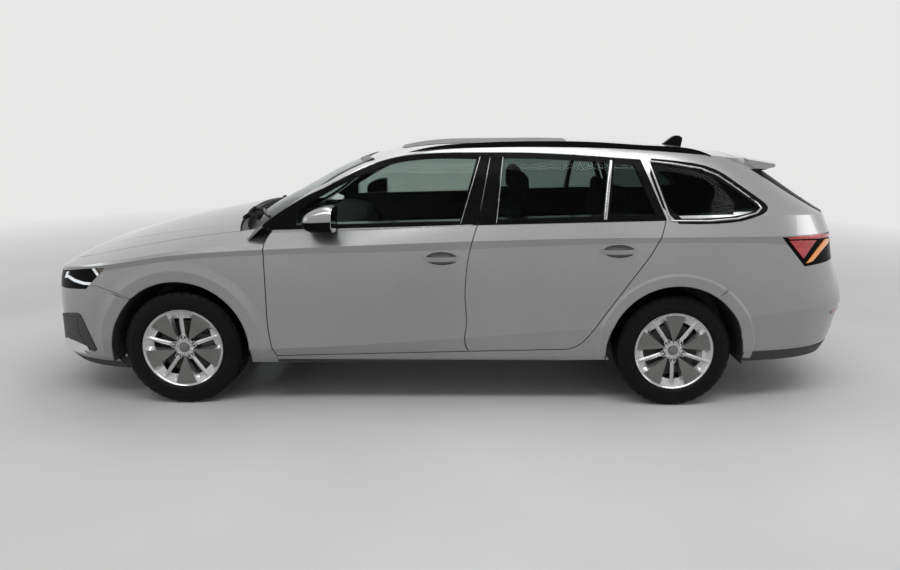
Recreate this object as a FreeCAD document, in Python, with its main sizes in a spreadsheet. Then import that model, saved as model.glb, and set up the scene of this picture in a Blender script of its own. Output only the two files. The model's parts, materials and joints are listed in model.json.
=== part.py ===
import FreeCAD, Part
import math
import os
from FreeCAD import Vector

# A five-door station wagon. The nose points to -X, the left side is -Y, the ground is z = 0.
# The origin is on the ground under the middle of the car.

os.makedirs("parts", exist_ok=True)
doc = FreeCAD.newDocument("station_wagon")

# Driving dimensions, in millimetres and degrees
SIZES = (
    ("wheelbase", 2686.0),
    ("front_overhang", 887.0),
    ("rear_overhang", 1116.0),
    ("body_width", 1829.0),
    ("body_height", 1468.0),
    ("wheel_track", 1543.0),
    ("tyre_radius", 316.0),
    ("tyre_width", 205.0),
    ("rim_radius", 224.0),
    ("rim_wall", 8.0),
    ("rim_lip_stand", 4.0),
    ("hub_face_inset", 10.0),
    ("wheel_disc_thickness", 34.0),
    ("slot_inner_radius", 84.0),
    ("slot_outer_radius", 196.0),
    ("slot_width", 30.0),
    ("slot_half_angle", 11.0),
    ("hub_bore_radius", 28.0),
    ("bolt_circle_diameter", 112.0),
    ("bolt_hole_radius", 7.5),
    ("arch_clearance", 64.0),
    ("arch_lip_width", 52.0),
    ("arch_lip_stand", 7.0),
    ("shut_gap", 5.0),
    ("seat_gap", 0.3),
    ("door_edge", 18.0),
    ("door_thickness", 95.0),
    ("door_rebate", 20.0),
    ("frame_thickness", 34.0),
    ("wall_thickness", 112.0),
    ("pillar_thickness", 52.0),
    ("panel_thickness", 30.0),
    ("bumper_thickness", 55.0),
    ("tailgate_thickness", 60.0),
    ("roof_thickness", 38.0),
    ("glass_inset", 4.0),
    ("glass_thickness", 5.0),
    ("floor_thickness", 40.0),
    ("floor_height", 240.0),
    ("handle_length", 236.0),
    ("mirror_reach", 1001.5),
    ("rail_width", 34.0),
    ("rail_height", 42.0),
    ("brake_disc_radius", 144.0),
    ("brake_disc_thickness", 22.0),
    ("hub_radius", 70.0),
    ("kingpin_lean", 13.0),
    ("kingpin_offset", 70.0),
    ("strut_radius", 27.0),
    ("steering_wheel_radius", 182.0),
    ("steering_rim_radius", 15.0),
    ("column_slope", 24.0),
    ("engine_length", 420.0),
    ("engine_width", 620.0),
    ("engine_height", 430.0),
    ("exhaust_radius", 27.0),
)

sheet = doc.addObject("Spreadsheet::Sheet", "Sizes")
for row, (alias, value) in enumerate(SIZES, start=1):
    sheet.set("A%d" % row, alias)
    sheet.set("B%d" % row, str(value))
    sheet.setAlias("B%d" % row, alias)
doc.recompute()


def size(alias):
    return float(sheet.get(alias))


# Outlines are drawn on a car of these sizes, in millimetres behind the front axle,
# out from the middle plane and above the ground, and are stretched to the sheet's sizes.
DRAWN_WHEELBASE = 2686.0
DRAWN_FRONT_OVERHANG = 887.0
DRAWN_REAR_OVERHANG = 1116.0
DRAWN_WIDTH = 1829.0
DRAWN_HEIGHT = 1468.0

front_axle = size("front_overhang") - (size("front_overhang") + size("wheelbase") + size("rear_overhang")) / 2
rear_axle = front_axle + size("wheelbase")
wheel_plane = size("wheel_track") / 2
gap = size("shut_gap")
seat = size("seat_gap")
arch_radius = size("tyre_radius") + size("arch_clearance")


def x_at(station):
    """Model X of a drawn station."""
    if station <= 0:
        return front_axle + station * size("front_overhang") / DRAWN_FRONT_OVERHANG
    if station <= DRAWN_WHEELBASE:
        return front_axle + station * size("wheelbase") / DRAWN_WHEELBASE
    return rear_axle + (station - DRAWN_WHEELBASE) * size("rear_overhang") / DRAWN_REAR_OVERHANG


def y_at(half_width):
    return half_width * size("body_width") / DRAWN_WIDTH


def z_at(height):
    return height * size("body_height") / DRAWN_HEIGHT


def spot(station, half_width, height):
    """Model point on the left side of a drawn point."""
    return Vector(x_at(station), -y_at(half_width), z_at(height))


def between(station, rows):
    """Height at a station, along a line of (station, height) rows."""
    if station <= rows[0][0]:
        return rows[0][1]
    for (s0, h0), (s1, h1) in zip(rows, rows[1:]):
        if station <= s1:
            return h0 + (h1 - h0) * (station - s0) / (s1 - s0)
    return rows[-1][1]


# The body side is a stack of level curves, each a rounded plan outline from the nose round the
# left side to the tail. A level holds its nose and tail station, its half width, the stations
# where it reaches full width, its height along the car, and the wall kind it belongs to.
CREASE = ((-868, 690), (-700, 733), (-550, 755), (-383, 775), (-95, 827), (185, 862), (477, 877),
          (931, 896), (1508, 928), (2033, 943), (2510, 962), (3223, 965), (3690, 965))
UNDERCUT = ((-864, 655), (-600, 700), (-383, 742), (-95, 798), (185, 832), (507, 845), (928, 862),
            (1539, 883), (2036, 906), (2512, 932), (3223, 928), (3722, 800))
BELT = ((-850, 800), (-383, 880), (-95, 920), (457, 968), (923, 972), (1505, 1010), (2037, 1032),
        (2569, 1052), (2894, 1058), (3120, 1075), (3660, 1060))
LOWER_CREASE = ((-868, 430), (-500, 370), (0, 330), (531, 335), (998, 371), (1539, 402), (2196, 458),
                (2686, 495), (3165, 534), (3427, 560), (3802, 550))
MIDDLE = ((-872, 570), (0, 600), (1500, 625), (2700, 690), (3300, 690), (3780, 650))
SILL = ((-887, 245), (-300, 250), (400, 262), (1500, 275), (2300, 295), (3000, 320), (3765, 345))

LOW, HIGH = "low", "high"
LEVELS = (
    # nose, tail, half width, full from, full to, heights, kind
    (-845, 3700, 800, 600, 2300, ((0, 165),), LOW),
    (-887, 3765, 872, 600, 2300, SILL, LOW),
    (-866, 3802, 914.5, 600, 2300, LOWER_CREASE, LOW),
    (-872, 3782, 906, 600, 2300, MIDDLE, LOW),
    (-866, 3724, 894, 600, 2300, UNDERCUT, LOW),
    (-846, 3692, 905, 600, 2300, CREASE, LOW),
    (-806, 3662, 864, 900, 2200, BELT, LOW),
    (-300, 3490, 803, 1500, 1900, ((0, 1180),), HIGH),
    (0, 3318, 745, 1500, 1900, ((0, 1300),), HIGH),
    (150, 3205, 687, 1500, 1900, ((0, 1380),), HIGH),
    (300, 3120, 605, 1500, 1900, ((0, 1440),), HIGH),
    (500, 2950, 420, 1500, 1900, ((0, 1560),), HIGH),
)
# Bands of levels that one smooth surface runs through, by their first and last level
BANDS = ((0, 1), (1, 2), (2, 4), (4, 5), (5, 6), (6, 11))
CORNER_POWER = 4.2
CORNER_ANGLES = (0, 4, 12, 22, 34, 48, 62, 76)
SIDE_SHARES = (0.0, 0.5, 1.0)


def level_outline(level):
    """Drawn points of one level curve."""
    nose, tail, half, full_from, full_to, heights, kind = level
    points = []
    for angle in CORNER_ANGLES:
        a = math.radians(angle)
        station = full_from - (full_from - nose) * math.cos(a) ** (2 / CORNER_POWER)
        points.append((station, half * math.sin(a) ** (2 / CORNER_POWER)))
    for share in SIDE_SHARES:
        points.append((full_from + (full_to - full_from) * share, half))
    for angle in reversed(CORNER_ANGLES):
        a = math.radians(angle)
        station = full_to + (tail - full_to) * math.cos(a) ** (2 / CORNER_POWER)
        points.append((station, half * math.sin(a) ** (2 / CORNER_POWER)))
    return [(s, y, between(s, heights)) for s, y in points]


def level_points(level, inset):
    """Model points of one level curve, set in from the skin by a wall thickness."""
    model = [spot(s, y, z) for s, y, z in level_outline(level)]
    last = len(model) - 1
    result = []
    for i, p in enumerate(model):
        if i == 0:
            normal = Vector(1, 0, 0)
        elif i == last:
            normal = Vector(-1, 0, 0)
        else:
            along = model[i + 1] - model[i - 1]
            normal = Vector(-along.y, along.x, 0).normalize()
        result.append(p + normal * inset)
    return result


def chord_parameters(points):
    total = [0.0]
    for a, b in zip(points, points[1:]):
        total.append(total[-1] + (b - a).Length)
    return [value / total[-1] for value in total]


def skin(low_inset=0.0, high_inset=None):
    """The closed left half of the body, set in by a wall thickness below and above the belt."""
    insets = {LOW: low_inset, HIGH: low_inset if high_inset is None else high_inset}
    rows = [level_points(level, insets[level[6]]) for level in LEVELS]
    along = chord_parameters([spot(*p) for p in level_outline(LEVELS[2])])
    curves = []
    for points in rows:
        curve = Part.BSplineCurve()
        curve.interpolate(Points=points, Parameters=along,
                          InitialTangent=Vector(0, -1, 0) * (points[0] - points[-1]).Length * 1.1,
                          FinalTangent=Vector(0, 1, 0) * (points[0] - points[-1]).Length * 1.1)
        curves.append(curve)
    faces = []
    nose_edges = []
    tail_edges = []
    for first, last in BANDS:
        stack = curves[first:last + 1]
        columns = []
        heights = [i / (len(stack) - 1.0) for i in range(len(stack))]
        for poles in zip(*[curve.getPoles() for curve in stack]):
            if len(stack) == 2:
                columns.append(list(poles))
            else:
                column = Part.BSplineCurve()
                column.interpolate(Points=list(poles), Parameters=heights)
                columns.append(column.getPoles())
        if len(stack) == 2:
            across = (1, [2, 2], [0.0, 1.0])
        else:
            across = (column.Degree, column.getMultiplicities(), column.getKnots())
        surface = Part.BSplineSurface()
        surface.buildFromPolesMultsKnots(columns, stack[0].getMultiplicities(), across[1],
                                         stack[0].getKnots(), across[2], False, False,
                                         stack[0].Degree, across[0])
        faces.append(surface.toShape())
        nose_edges.append(surface.uIso(0.0).toShape())
        tail_edges.append(surface.uIso(1.0).toShape())
    bottom, top = curves[0], curves[-1]
    lines = []
    for curve in (bottom, top):
        chord = Part.makeLine(curve.StartPoint, curve.EndPoint)
        lines.append(chord)
        faces.append(Part.Face(Part.Wire([curve.toShape(), chord])))
    loop = Part.__sortEdges__(nose_edges + tail_edges + lines)
    faces.append(Part.Face(Part.Wire(loop)))
    shell = Part.makeShell(faces)
    shell.sewShape()
    solid = Part.Solid(shell)
    if solid.Volume < 0:
        solid.reverse()
    return solid


# Crowned top surfaces: rows of station, height on the middle plane, height at the crown width
CROWN_WIDTH = 900.0
BONNET_ROWS = ((-930, 630, 510), (-870, 698, 574), (-735, 800, 672), (-598, 849, 716), (-462, 891, 755),
               (-260, 943, 803), (-59, 985, 845), (195, 1031, 880), (600, 1085, 900))
SCREEN_ROWS = ((0, 870, 655), (250, 1012, 800), (604, 1208, 995), (746, 1285, 1125), (931, 1357, 1250),
               (1100, 1412, 1330), (1300, 1465, 1400))
ROOF_ROWS = ((700, 1270, 1180), (931, 1352, 1262), (1208, 1425, 1335), (1602, 1452, 1372),
             (2129, 1458, 1380), (2726, 1434, 1356), (3060, 1400, 1322), (3500, 1328, 1250),
             (3950, 1240, 1165))


def under(rows, lower_by=0.0):
    """The space under a crowned surface."""
    depth = z_at(1600)
    reach = y_at(1060)
    share = (reach / y_at(CROWN_WIDTH)) ** 2
    middle = [Vector(x_at(s), 0, z_at(zc) - lower_by) for s, zc, ze in rows]
    edge = [Vector(x_at(s), 0, z_at(zc) - (z_at(zc) - z_at(ze)) * share - lower_by) for s, zc, ze in rows]
    along = chord_parameters(middle)
    lines = []
    for points in (middle, edge):
        curve = Part.BSplineCurve()
        curve.interpolate(Points=points, Parameters=along)
        lines.append(curve)
    poles = []
    for m, e in zip(lines[0].getPoles(), lines[1].getPoles()):
        poles.append([Vector(e.x, -reach, e.z), Vector(m.x, 0, 2 * m.z - e.z), Vector(e.x, reach, e.z)])
    surface = Part.BSplineSurface()
    surface.buildFromPolesMultsKnots(poles, lines[0].getMultiplicities(), [3, 3], lines[0].getKnots(),
                                     [0.0, 1.0], False, False, lines[0].Degree, 2)
    return surface.toShape().extrude(Vector(0, 0, -depth))


def outline_wire(runs, corner):
    """A closed wire. A run of two points is a line, of three an arc, of more a smooth curve."""
    edges = []
    start = None
    first = None
    for run in runs:
        points = [corner(*p) for p in run]
        if start is not None:
            points = [start] + points
        else:
            first = points[0]
        if len(points) == 2:
            edges.append(Part.makeLine(points[0], points[1]))
        elif len(points) == 3:
            edges.append(Part.Arc(points[0], points[1], points[2]).toShape())
        else:
            curve = Part.BSplineCurve()
            curve.interpolate(Points=points)
            edges.append(curve.toShape())
        start = points[-1]
    if (start - first).Length > 1e-6:
        edges.append(Part.makeLine(start, first))
    return Part.Wire(edges)


def straight(*points):
    """Runs of single lines through the points."""
    return [[points[0], points[1]]] + [[p] for p in points[2:]]


def region(wire, grow=0.0):
    """The flat area inside an outline, grown or shrunk."""
    face = Part.Face(wire)
    if not grow:
        return face
    edges = []
    for edge in face.makeOffset2D(grow).OuterWire.OrderedEdges:
        if edge.Curve.TypeId == "Part::GeomOffsetCurve":
            curve = Part.BSplineCurve()
            curve.interpolate(Points=edge.discretize(Number=5 + int(edge.Length / 70)))
            edge = curve.toShape()
        edges.append(edge)
    return Part.Face(Part.Wire(Part.__sortEdges__(edges)))


def push_side(area, y_from=1150.0, y_to=300.0):
    """A side-view area pushed through the left side of the car."""
    area = area.copy()
    area.translate(Vector(0, -y_at(y_from), 0))
    return area.extrude(Vector(0, y_at(y_from) - y_at(y_to), 0))


def side_prism(wire, grow=0.0, y_from=1150.0, y_to=300.0):
    """A side-view outline pushed through the left side of the car."""
    return push_side(region(wire, grow), y_from, y_to)


def side_point(station, height):
    return Vector(x_at(station), 0, z_at(height))


def rear_point(half_width, height):
    return Vector(0, -y_at(half_width), z_at(height))


def plan_point(station, half_width):
    return Vector(x_at(station), -y_at(half_width), 0)


def end_prism(wire, from_station, to_station, grow=0.0):
    """A front or rear view outline pushed along the car."""
    face = region(wire, grow)
    face.translate(Vector(x_at(from_station), 0, 0))
    return face.extrude(Vector(x_at(to_station) - x_at(from_station), 0, 0))


def plan_prism(wire, z_from, z_to, grow=0.0):
    """A plan outline pushed upwards."""
    face = region(wire, grow)
    face.translate(Vector(0, 0, z_at(z_from)))
    return face.extrude(Vector(0, 0, z_at(z_to) - z_at(z_from)))


def block(s0, s1, y0, y1, z0, z1):
    """A box between drawn stations, half widths (left is minus) and heights."""
    low = Vector(x_at(s0), y_at(y0), z_at(z0))
    high = Vector(x_at(s1), y_at(y1), z_at(z1))
    return Part.makeBox(high.x - low.x, high.y - low.y, high.z - low.z, low)


def mirrored(shape):
    return shape.mirror(Vector(0, 0, 0), Vector(0, 1, 0))


def both_halves(shape):
    """A piece that runs across the middle, from its left half."""
    return shape.fuse(mirrored(shape)).removeSplitter()


def single(shape):
    """The largest solid of a result."""
    return max(shape.Solids, key=lambda solid: solid.Volume)


nodes = []


def add_node(name, shape, base=Vector(0, 0, 0)):
    feature = doc.addObject("Part::Feature", name)
    feature.Label = name
    feature.Shape = shape
    feature.Placement = FreeCAD.Placement(base, FreeCAD.Rotation())
    nodes.append(feature)
    return feature


def add_pair(name, shape, base=Vector(0, 0, 0)):
    """A left piece and its mirror image; base is the left one's place."""
    add_node(name + "_left", shape, base)
    add_node(name + "_right", mirrored(shape), Vector(base.x, -base.y, base.z))


# Shut lines and openings in side view
# The line where the doors meet, from the sill up to the belt
DOOR_SPLIT = ((1556, 318), (1535, 400), (1544, 483), (1537, 600), (1539, 727), (1555, 855), (1573, 931), (1600, 1012))
front_door_outline = outline_wire([
    [(512, 969), (480, 915), (471, 800), (477, 600), (493, 377), (516, 287)],
    [DOOR_SPLIT[0]],
    list(DOOR_SPLIT[1:]),
    [(1668, 1386)],
    [(1445, 1383), (1282, 1374), (1173, 1360), (1064, 1332), (927, 1273), (789, 1203), (566, 1080), (450, 993)],
], side_point)
rear_door_outline = outline_wire([
    list(reversed(DOOR_SPLIT)),
    [(2086, 331)],
    [(2167, 367), (2218, 433), (2346, 615), (2455, 767), (2546, 903), (2580, 980), (2603, 1052)],
    [(2488, 1357)],
    [(2263, 1371), (2044, 1383), (1826, 1387), (1668, 1386)],
], side_point)
front_window_outline = outline_wire([
    [(640, 1000), (1505, 1030)],
    [(1592, 1350)],
    [(1445, 1352), (1290, 1345), (1180, 1330), (1070, 1302), (940, 1246), (800, 1172), (640, 1073)],
], side_point)
rear_window_outline = outline_wire([
    [(1690, 1040), (2275, 1062)],
    [(2315, 1337)],
    [(2044, 1352), (1880, 1356), (1728, 1356)],
], side_point)
rear_pane_outline = outline_wire([
    [(2303, 1064), (2552, 1068)],
    [(2452, 1330)],
    [(2341, 1336)],
], side_point)
quarter_window_outline = outline_wire([
    [(2632, 1068), (2980, 1076)],
    [(3092, 1092), (3132, 1108), (3118, 1130), (3029, 1212), (2922, 1270), (2816, 1306), (2684, 1330), (2536, 1338)],
], side_point)
fender_outline = outline_wire([
    [(-900, 655), (-455, 655)],
    [(-340, 627), (-262, 600)],
    [(-262, 228)],
    [(516, 236)],
    [(516, 287)],
    [(493, 377), (477, 600), (471, 800), (480, 915), (512, 969)],
    [(560, 1120)],
    [(-900, 1120)],
], side_point)
sill_bottom = ((-262, 205), (300, 222), (1500, 236), (2350, 258))
side_frame_outline = outline_wire([
    [(516, 236), (2330, 262)],
    [(2920, 262)],
    [(2920, 668)],
    [(2971, 683), (3131, 739), (3363, 793), (3560, 815)],
    [(3760, 815)],
    [(3760, 1700)],
    [(300, 1700)],
    [(300, 955)],
    [(512, 969)],
    [(480, 915), (471, 800), (477, 600), (493, 377), (516, 287)],
], side_point)
front_bumper_outline = outline_wire([
    [(-950, 655), (-455, 655)],
    [(-340, 627), (-262, 600)],
    [(-262, 150)],
    [(-950, 150)],
], side_point)
rear_bumper_outline = outline_wire([
    [(2920, 250), (3900, 250)],
    [(3900, 815)],
    [(3560, 815)],
    [(3363, 793), (3131, 739), (2971, 683), (2920, 668)],
], side_point)
headlamp_outline = outline_wire([
    [(-900, 598), (-640, 622)],
    [(-520, 634)],
    [(-394, 757)],
    [(-560, 738), (-690, 716), (-805, 701), (-900, 690)],
], side_point)
tail_lamp_outline = outline_wire([
    [(3236, 958), (3386, 793)],
    [(3760, 815)],
    [(3760, 962)],
], side_point)

# Openings in rear view and plan
tailgate_outline = outline_wire([
    [(-50, 640), (470, 640)],
    [(540, 656), (578, 720), (598, 830), (606, 960), (604, 1100), (592, 1250), (572, 1350), (552, 1500)],
    [(-50, 1500)],
], rear_point)
rear_glass_outline = outline_wire([
    [(-50, 1075), (520, 1068)],
    [(548, 1090)],
    [(528, 1290)],
    [(505, 1312)],
    [(-50, 1318)],
], rear_point)
screen_outline = outline_wire([
    [(215, -50), (215, 50)],
    [(232, 300), (275, 560), (345, 712)],
    [(1010, 585)],
    [(955, 420), (925, 210), (916, 50)],
    [(915, -50)],
], plan_point)
top_opening = outline_wire(straight(
    (200, -60), (200, 300), (262, 560), (338, 718), (1012, 592), (1060, 600), (3400, 600), (3400, -60)), plan_point)
bonnet_outline = outline_wire([
    [(-852, 0), (-846, 200), (-815, 400), (-740, 560)],
    [(-560, 655), (-300, 705), (0, 722), (290, 725)],
    [(240, 560), (205, 300), (190, 0)],
], plan_point)
cowl_outline = outline_wire([
    [(197, 0), (212, 300), (247, 560), (297, 722)],
    [(341, 712)],
    [(271, 560), (228, 300), (211, 0)],
], plan_point)
screen_side = outline_wire(straight(
    (-20, -60), (-20, 720), (290, 728), (343, 720), (1012, 596), (1012, -60)), plan_point)
tailgate_hinge_station = 3085.0

# Pull handles: station and height of each, and the door skin's half width there
FRONT_HANDLE = (1411, 834)
REAR_HANDLE = (2353, 881)
HANDLE_SKIN = 893.0
HANDLE_CUP_DEPTH = 46.0
HANDLE_CUP_HEIGHT = 35.0
HANDLE_BAR_HEIGHT = 24.0
HANDLE_RAKE = 1.3
roof_rear_station = 3072.0

# Solids that several pieces are cut from
outer = skin()
cavity = skin(size("wall_thickness"), size("pillar_thickness"))
edge_layer = skin(size("door_edge"))
door_inner = skin(size("door_thickness"), size("frame_thickness"))
glass_outer = skin(size("glass_inset"))
glass_inner = skin(size("glass_inset") + size("glass_thickness"))
panel_inner = skin(size("panel_thickness"))
bumper_inner = skin(size("bumper_thickness"))
under_bonnet = under(BONNET_ROWS)
under_screen = under(SCREEN_ROWS)
under_roof = under(ROOF_ROWS)
under_roof_lining = under(ROOF_ROWS, size("roof_thickness"))

wheel_height = size("tyre_radius")


def arch(axle, radius):
    """A cylinder across the left wheel arch."""
    centre = Vector(axle, -y_at(1150), wheel_height)
    return Part.makeCylinder(radius, y_at(1150) - y_at(480), centre, Vector(0, 1, 0))


front_arch = arch(front_axle, arch_radius)
rear_arch = arch(rear_axle, arch_radius)


def door_handle(station, height):
    """The hollow behind a pull handle and the bowed bar across it."""
    skin_y = y_at(HANDLE_SKIN)
    cup = Part.makeSphere(1.0)
    matrix = FreeCAD.Matrix()
    matrix.scale(Vector(size("handle_length") * 0.36, HANDLE_CUP_DEPTH, HANDLE_CUP_HEIGHT))
    cup = cup.transformGeometry(matrix)
    cup.translate(Vector(x_at(station), -skin_y, z_at(height)))
    half = size("handle_length") / 2
    bar = outline_wire([
        [(-half, 12), (-half * 0.8, -11), (-half * 0.45, -25), (0, -30), (half * 0.45, -25), (half * 0.8, -11), (half, 12)],
        [(half - 26, 12)],
        [(half * 0.5, -5), (0, -12), (-half * 0.5, -5), (-half + 26, 12)],
    ], lambda along, out: Vector(along, out, 0))
    bar = Part.Face(bar).extrude(Vector(0, 0, HANDLE_BAR_HEIGHT))
    bar.rotate(Vector(0, 0, 0), Vector(0, 1, 0), -HANDLE_RAKE)
    bar.translate(Vector(x_at(station), -skin_y, z_at(height) - HANDLE_BAR_HEIGHT / 2))
    return cup, bar


def make_door(outline, windows, handle):
    """A door: an outer edge layer, a thicker box behind it, the window openings and a handle."""
    holes = [region(window) for window in windows]
    body = outer.common(push_side(region(outline, -gap / 2).cut(holes))).cut(door_inner)
    rebate = region(outline, gap).cut(region(outline, -size("door_rebate")))
    body = single(body.cut(edge_layer.common(push_side(rebate))))
    cup, bar = door_handle(*handle)
    return single(body.cut(cup).fuse(bar))


def make_glass(windows):
    panes = []
    for window in windows:
        pane = glass_outer.common(side_prism(window, -seat)).cut(glass_inner)
        panes.append(single(pane))
    return panes[0] if len(panes) == 1 else Part.makeCompound(panes)


add_pair("front_door", make_door(front_door_outline, [front_window_outline], FRONT_HANDLE))
add_pair("rear_door", make_door(rear_door_outline, [rear_window_outline, rear_pane_outline], REAR_HANDLE))
add_pair("front_door_glass", make_glass([front_window_outline]))
add_pair("rear_door_glass", make_glass([rear_window_outline, rear_pane_outline]))


# Body sides with pillars, sill and rear quarter
side_solid = outer.common(side_prism(side_frame_outline, 0, 1150, 0))
side_solid = side_solid.common(under_roof).cut(cavity.common(under_roof_lining))
side_solid = side_solid.common(under_screen.fuse(block(1000, 3900, -1150, 0, 0, 1500)))
side_solid = side_solid.cut(plan_prism(top_opening, 860, 1600))
door_hole = side_prism(front_door_outline, gap / 2).fuse(side_prism(rear_door_outline, gap / 2))
side_solid = side_solid.cut(door_hole)
side_solid = side_solid.cut(side_prism(quarter_window_outline))
side_solid = side_solid.cut(end_prism(tailgate_outline, 2900, 3950, gap))
side_solid = side_solid.cut(side_prism(tail_lamp_outline, seat).common(block(3100, 3900, -1000, -560, 700, 1100)))
side_solid = side_solid.cut(rear_arch)
sill_strip = outline_wire(straight((516, 236), (516, 284), (1556, 315), (2086, 328), (2250, 380), (2330, 262)), side_point)
side_solid = single(single(side_solid).fuse(outer.common(side_prism(sill_strip)).cut(cavity).cut(door_hole)))

# The pillar behind the door joint, the hinge pillar and the inner sill
pillar_outer = skin(size("wall_thickness"), size("frame_thickness") + 8)
pillar_inner = skin(size("wall_thickness") + 55, size("frame_thickness") + 30)
inner_ring = pillar_outer.cut(pillar_inner)
centre_pillar_outline = outline_wire([
    [(1460, 300), (1680, 300)],
    [(1645, 420), (1633, 700), (1660, 1000)],
    [(1755, 1395)],
    [(1600, 1395)],
    [(1530, 1000), (1480, 700), (1490, 420)],
], side_point)
hinge_pillar_outline = outline_wire(straight((400, 220), (560, 220), (540, 960), (400, 940)), side_point)
sill_outline = outline_wire(straight((400, 220), (2300, 262), (2300, 400), (400, 380)), side_point)
centre_pillar = inner_ring.common(side_prism(centre_pillar_outline))
hinge_pillar = inner_ring.common(side_prism(hinge_pillar_outline))
inner_sill = inner_ring.common(side_prism(sill_outline))

# Platform: floor, tunnel, bulkhead, rails, wheel housings, load floor and rear panel
floor_low = 240
floor_top = 280
lean = math.radians(size("kingpin_lean"))
kingpin_y = -wheel_plane + size("kingpin_offset")
axis_up = Vector(0, math.sin(lean), math.cos(lean))
kingpin_point = Vector(front_axle, kingpin_y, wheel_height)
strut_top = kingpin_point + axis_up * 490
strut_foot = Vector(front_axle, -wheel_plane + 139.5, wheel_height + 160)
strut_along = strut_top - strut_foot
nose = outer.common(side_prism(front_bumper_outline, 0, 1150, 0)).cut(bumper_inner).cut(front_arch)
load_floor = 610
housing_outer = arch_radius + 26
housing_inner = arch_radius + 14


def wheel_housing(axle, y_out, inward):
    """A half ring over the left wheel, closed on its inner side, which stands in from the wheel."""
    centre = Vector(axle, -y_at(y_out), wheel_height)
    depth = y_at(y_out) - wheel_plane + inward
    ring = Part.makeCylinder(housing_outer, depth, centre, Vector(0, 1, 0))
    hollow = Part.makeCylinder(housing_inner, depth - 12, centre, Vector(0, 1, 0))
    above = block(-900, 3900, -1150, 0, floor_low, 1400)
    return ring.cut(hollow).common(above)


platform_left = block(400, 2440, -790, 0, floor_low, floor_top)

platform_left = platform_left.fuse([
    block(400, 2440, -130, 0, 270, 390),
    block(360, 402, -770, 0, floor_low, 860),
    block(-700, 362, -490, -410, 380, 480),
    block(-690, -650, -560, 0, 380, 600),
    block(2400, 2440, -560, 0, floor_low, load_floor),
    block(2400, 3640, -560, 0, load_floor - 25, load_floor),
    block(2440, 3640, -500, -430, 400, load_floor - 20),
    block(3600, 3640, -560, 0, 400, load_floor),
])
platform_left = platform_left.common(cavity)
hollow_tunnel = block(300, 2500, -100, 0, 200, 360)
platform_left = platform_left.cut(hollow_tunnel)
front_housing = wheel_housing(front_axle, 850, 266.5).common(block(-700, 402, -850, -400, floor_low, 900))
front_housing = front_housing.common(panel_inner).cut(nose)
rear_housing = wheel_housing(rear_axle, 800, 211.5).common(cavity)
tower = Part.makeCone(105, 85, z_at(840) - z_at(690), Vector(front_axle, strut_top.y, z_at(690)))
front_outrigger = block(345, 402, -770, -480, floor_low, 480)
platform_left = platform_left.fuse(front_outrigger).cut(front_arch).cut(rear_arch)
platform_left = platform_left.fuse([front_housing, rear_housing, tower])
platform_left = platform_left.cut(block(2440, 2790, -600, -520, 200, 400))
platform_left = platform_left.cut(Part.makeCylinder(size("strut_radius") + 8, strut_along.Length + 60, strut_foot, strut_along))
platform = both_halves(platform_left)
add_node("floor_pan", single(platform))
side_frame_left = side_solid.fuse([centre_pillar, hinge_pillar, inner_sill])
side_frame_left = single(side_frame_left.cut(platform))
add_pair("side_frame", side_frame_left)
quarter_pane = single(make_glass([quarter_window_outline]).cut(side_frame_left))
add_node("quarter_glass", Part.makeCompound([quarter_pane, mirrored(quarter_pane)]))

# Front fenders
fender = outer.common(side_prism(fender_outline, -gap / 2, 1150, 0)).common(under_bonnet).cut(panel_inner.common(under(BONNET_ROWS, size("panel_thickness"))))
fender = fender.cut(plan_prism(bonnet_outline, 500, 1300, gap))
fender = fender.cut(block(-900, 900, -560, 0, 0, 1300)).cut(front_arch).cut(plan_prism(screen_side, 600, 1400))
fender = fender.cut(side_prism(headlamp_outline, seat))
fender = fender.cut(side_frame_left).cut(block(295, 700, -1150, 0, 955, 1300))
add_pair("front_fender", single(fender))

# Bonnet
bonnet = plan_prism(bonnet_outline, 600, 1300).common(outer).common(under_bonnet)
bonnet = bonnet.cut(panel_inner.common(under(BONNET_ROWS, size("panel_thickness"))))
bonnet = single(bonnet.cut(block(-900, 900, -1150, 10, 0, 695)))
add_node("bonnet", both_halves(bonnet))

# Windscreen and roof
left_half = block(-1000, 4000, -1200, 0, 0, 1800)
screen = plan_prism(screen_outline, 860, 1600, -seat).common(left_half)
screen = screen.common(under_screen).cut(under(SCREEN_ROWS, size("glass_thickness")))
add_node("windscreen", both_halves(single(screen)))
roof_outline = outline_wire([
    [(919, 0), (929, 210), (959, 420), (1014, 588)],
    [(1060, 597)],
    [(roof_rear_station, 597)],
    [(roof_rear_station, 0)],
], plan_point)
roof = plan_prism(roof_outline, 1000, 1700).common(under_roof).cut(under_roof_lining)
roof = roof.common(under_screen.fuse(block(1000, 3900, -1150, 200, 0, 1700)))
add_node("roof", both_halves(single(roof)))
cowl = plan_prism(cowl_outline, 880, 1300).common(under(BONNET_ROWS, 12)).cut(under(BONNET_ROWS, 60))
add_node("cowl", both_halves(single(cowl)))

# Bumpers, grille and lamps
grille_outline = outline_wire(straight((-50, 590), (436, 600), (432, 640), (-50, 640)), rear_point)
intake_outline = outline_wire(straight((-50, 240), (420, 250), (390, 330), (-50, 330)), rear_point)
side_intake_outline = outline_wire(straight((560, 245), (700, 250), (640, 410), (560, 400)), rear_point)
nose = nose.cut(side_prism(headlamp_outline, seat))
nose = nose.cut(end_prism(grille_outline, -950, -700)).cut(end_prism(intake_outline, -950, -700))
add_node("front_bumper", both_halves(single(nose)))
grille_shell = skin(18).cut(skin(38))
grille = grille_shell.common(end_prism(grille_outline, -950, -700, -seat))
lower_grille = grille_shell.common(end_prism(intake_outline, -950, -700, -seat))
add_node("grille", Part.makeCompound([both_halves(single(grille)), both_halves(single(lower_grille))]))
lamp_zone = plan_prism(bonnet_outline, 500, 1300, gap)
headlamp = skin(2).common(side_prism(headlamp_outline)).common(under(BONNET_ROWS, 2)).cut(skin(120))
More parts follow.
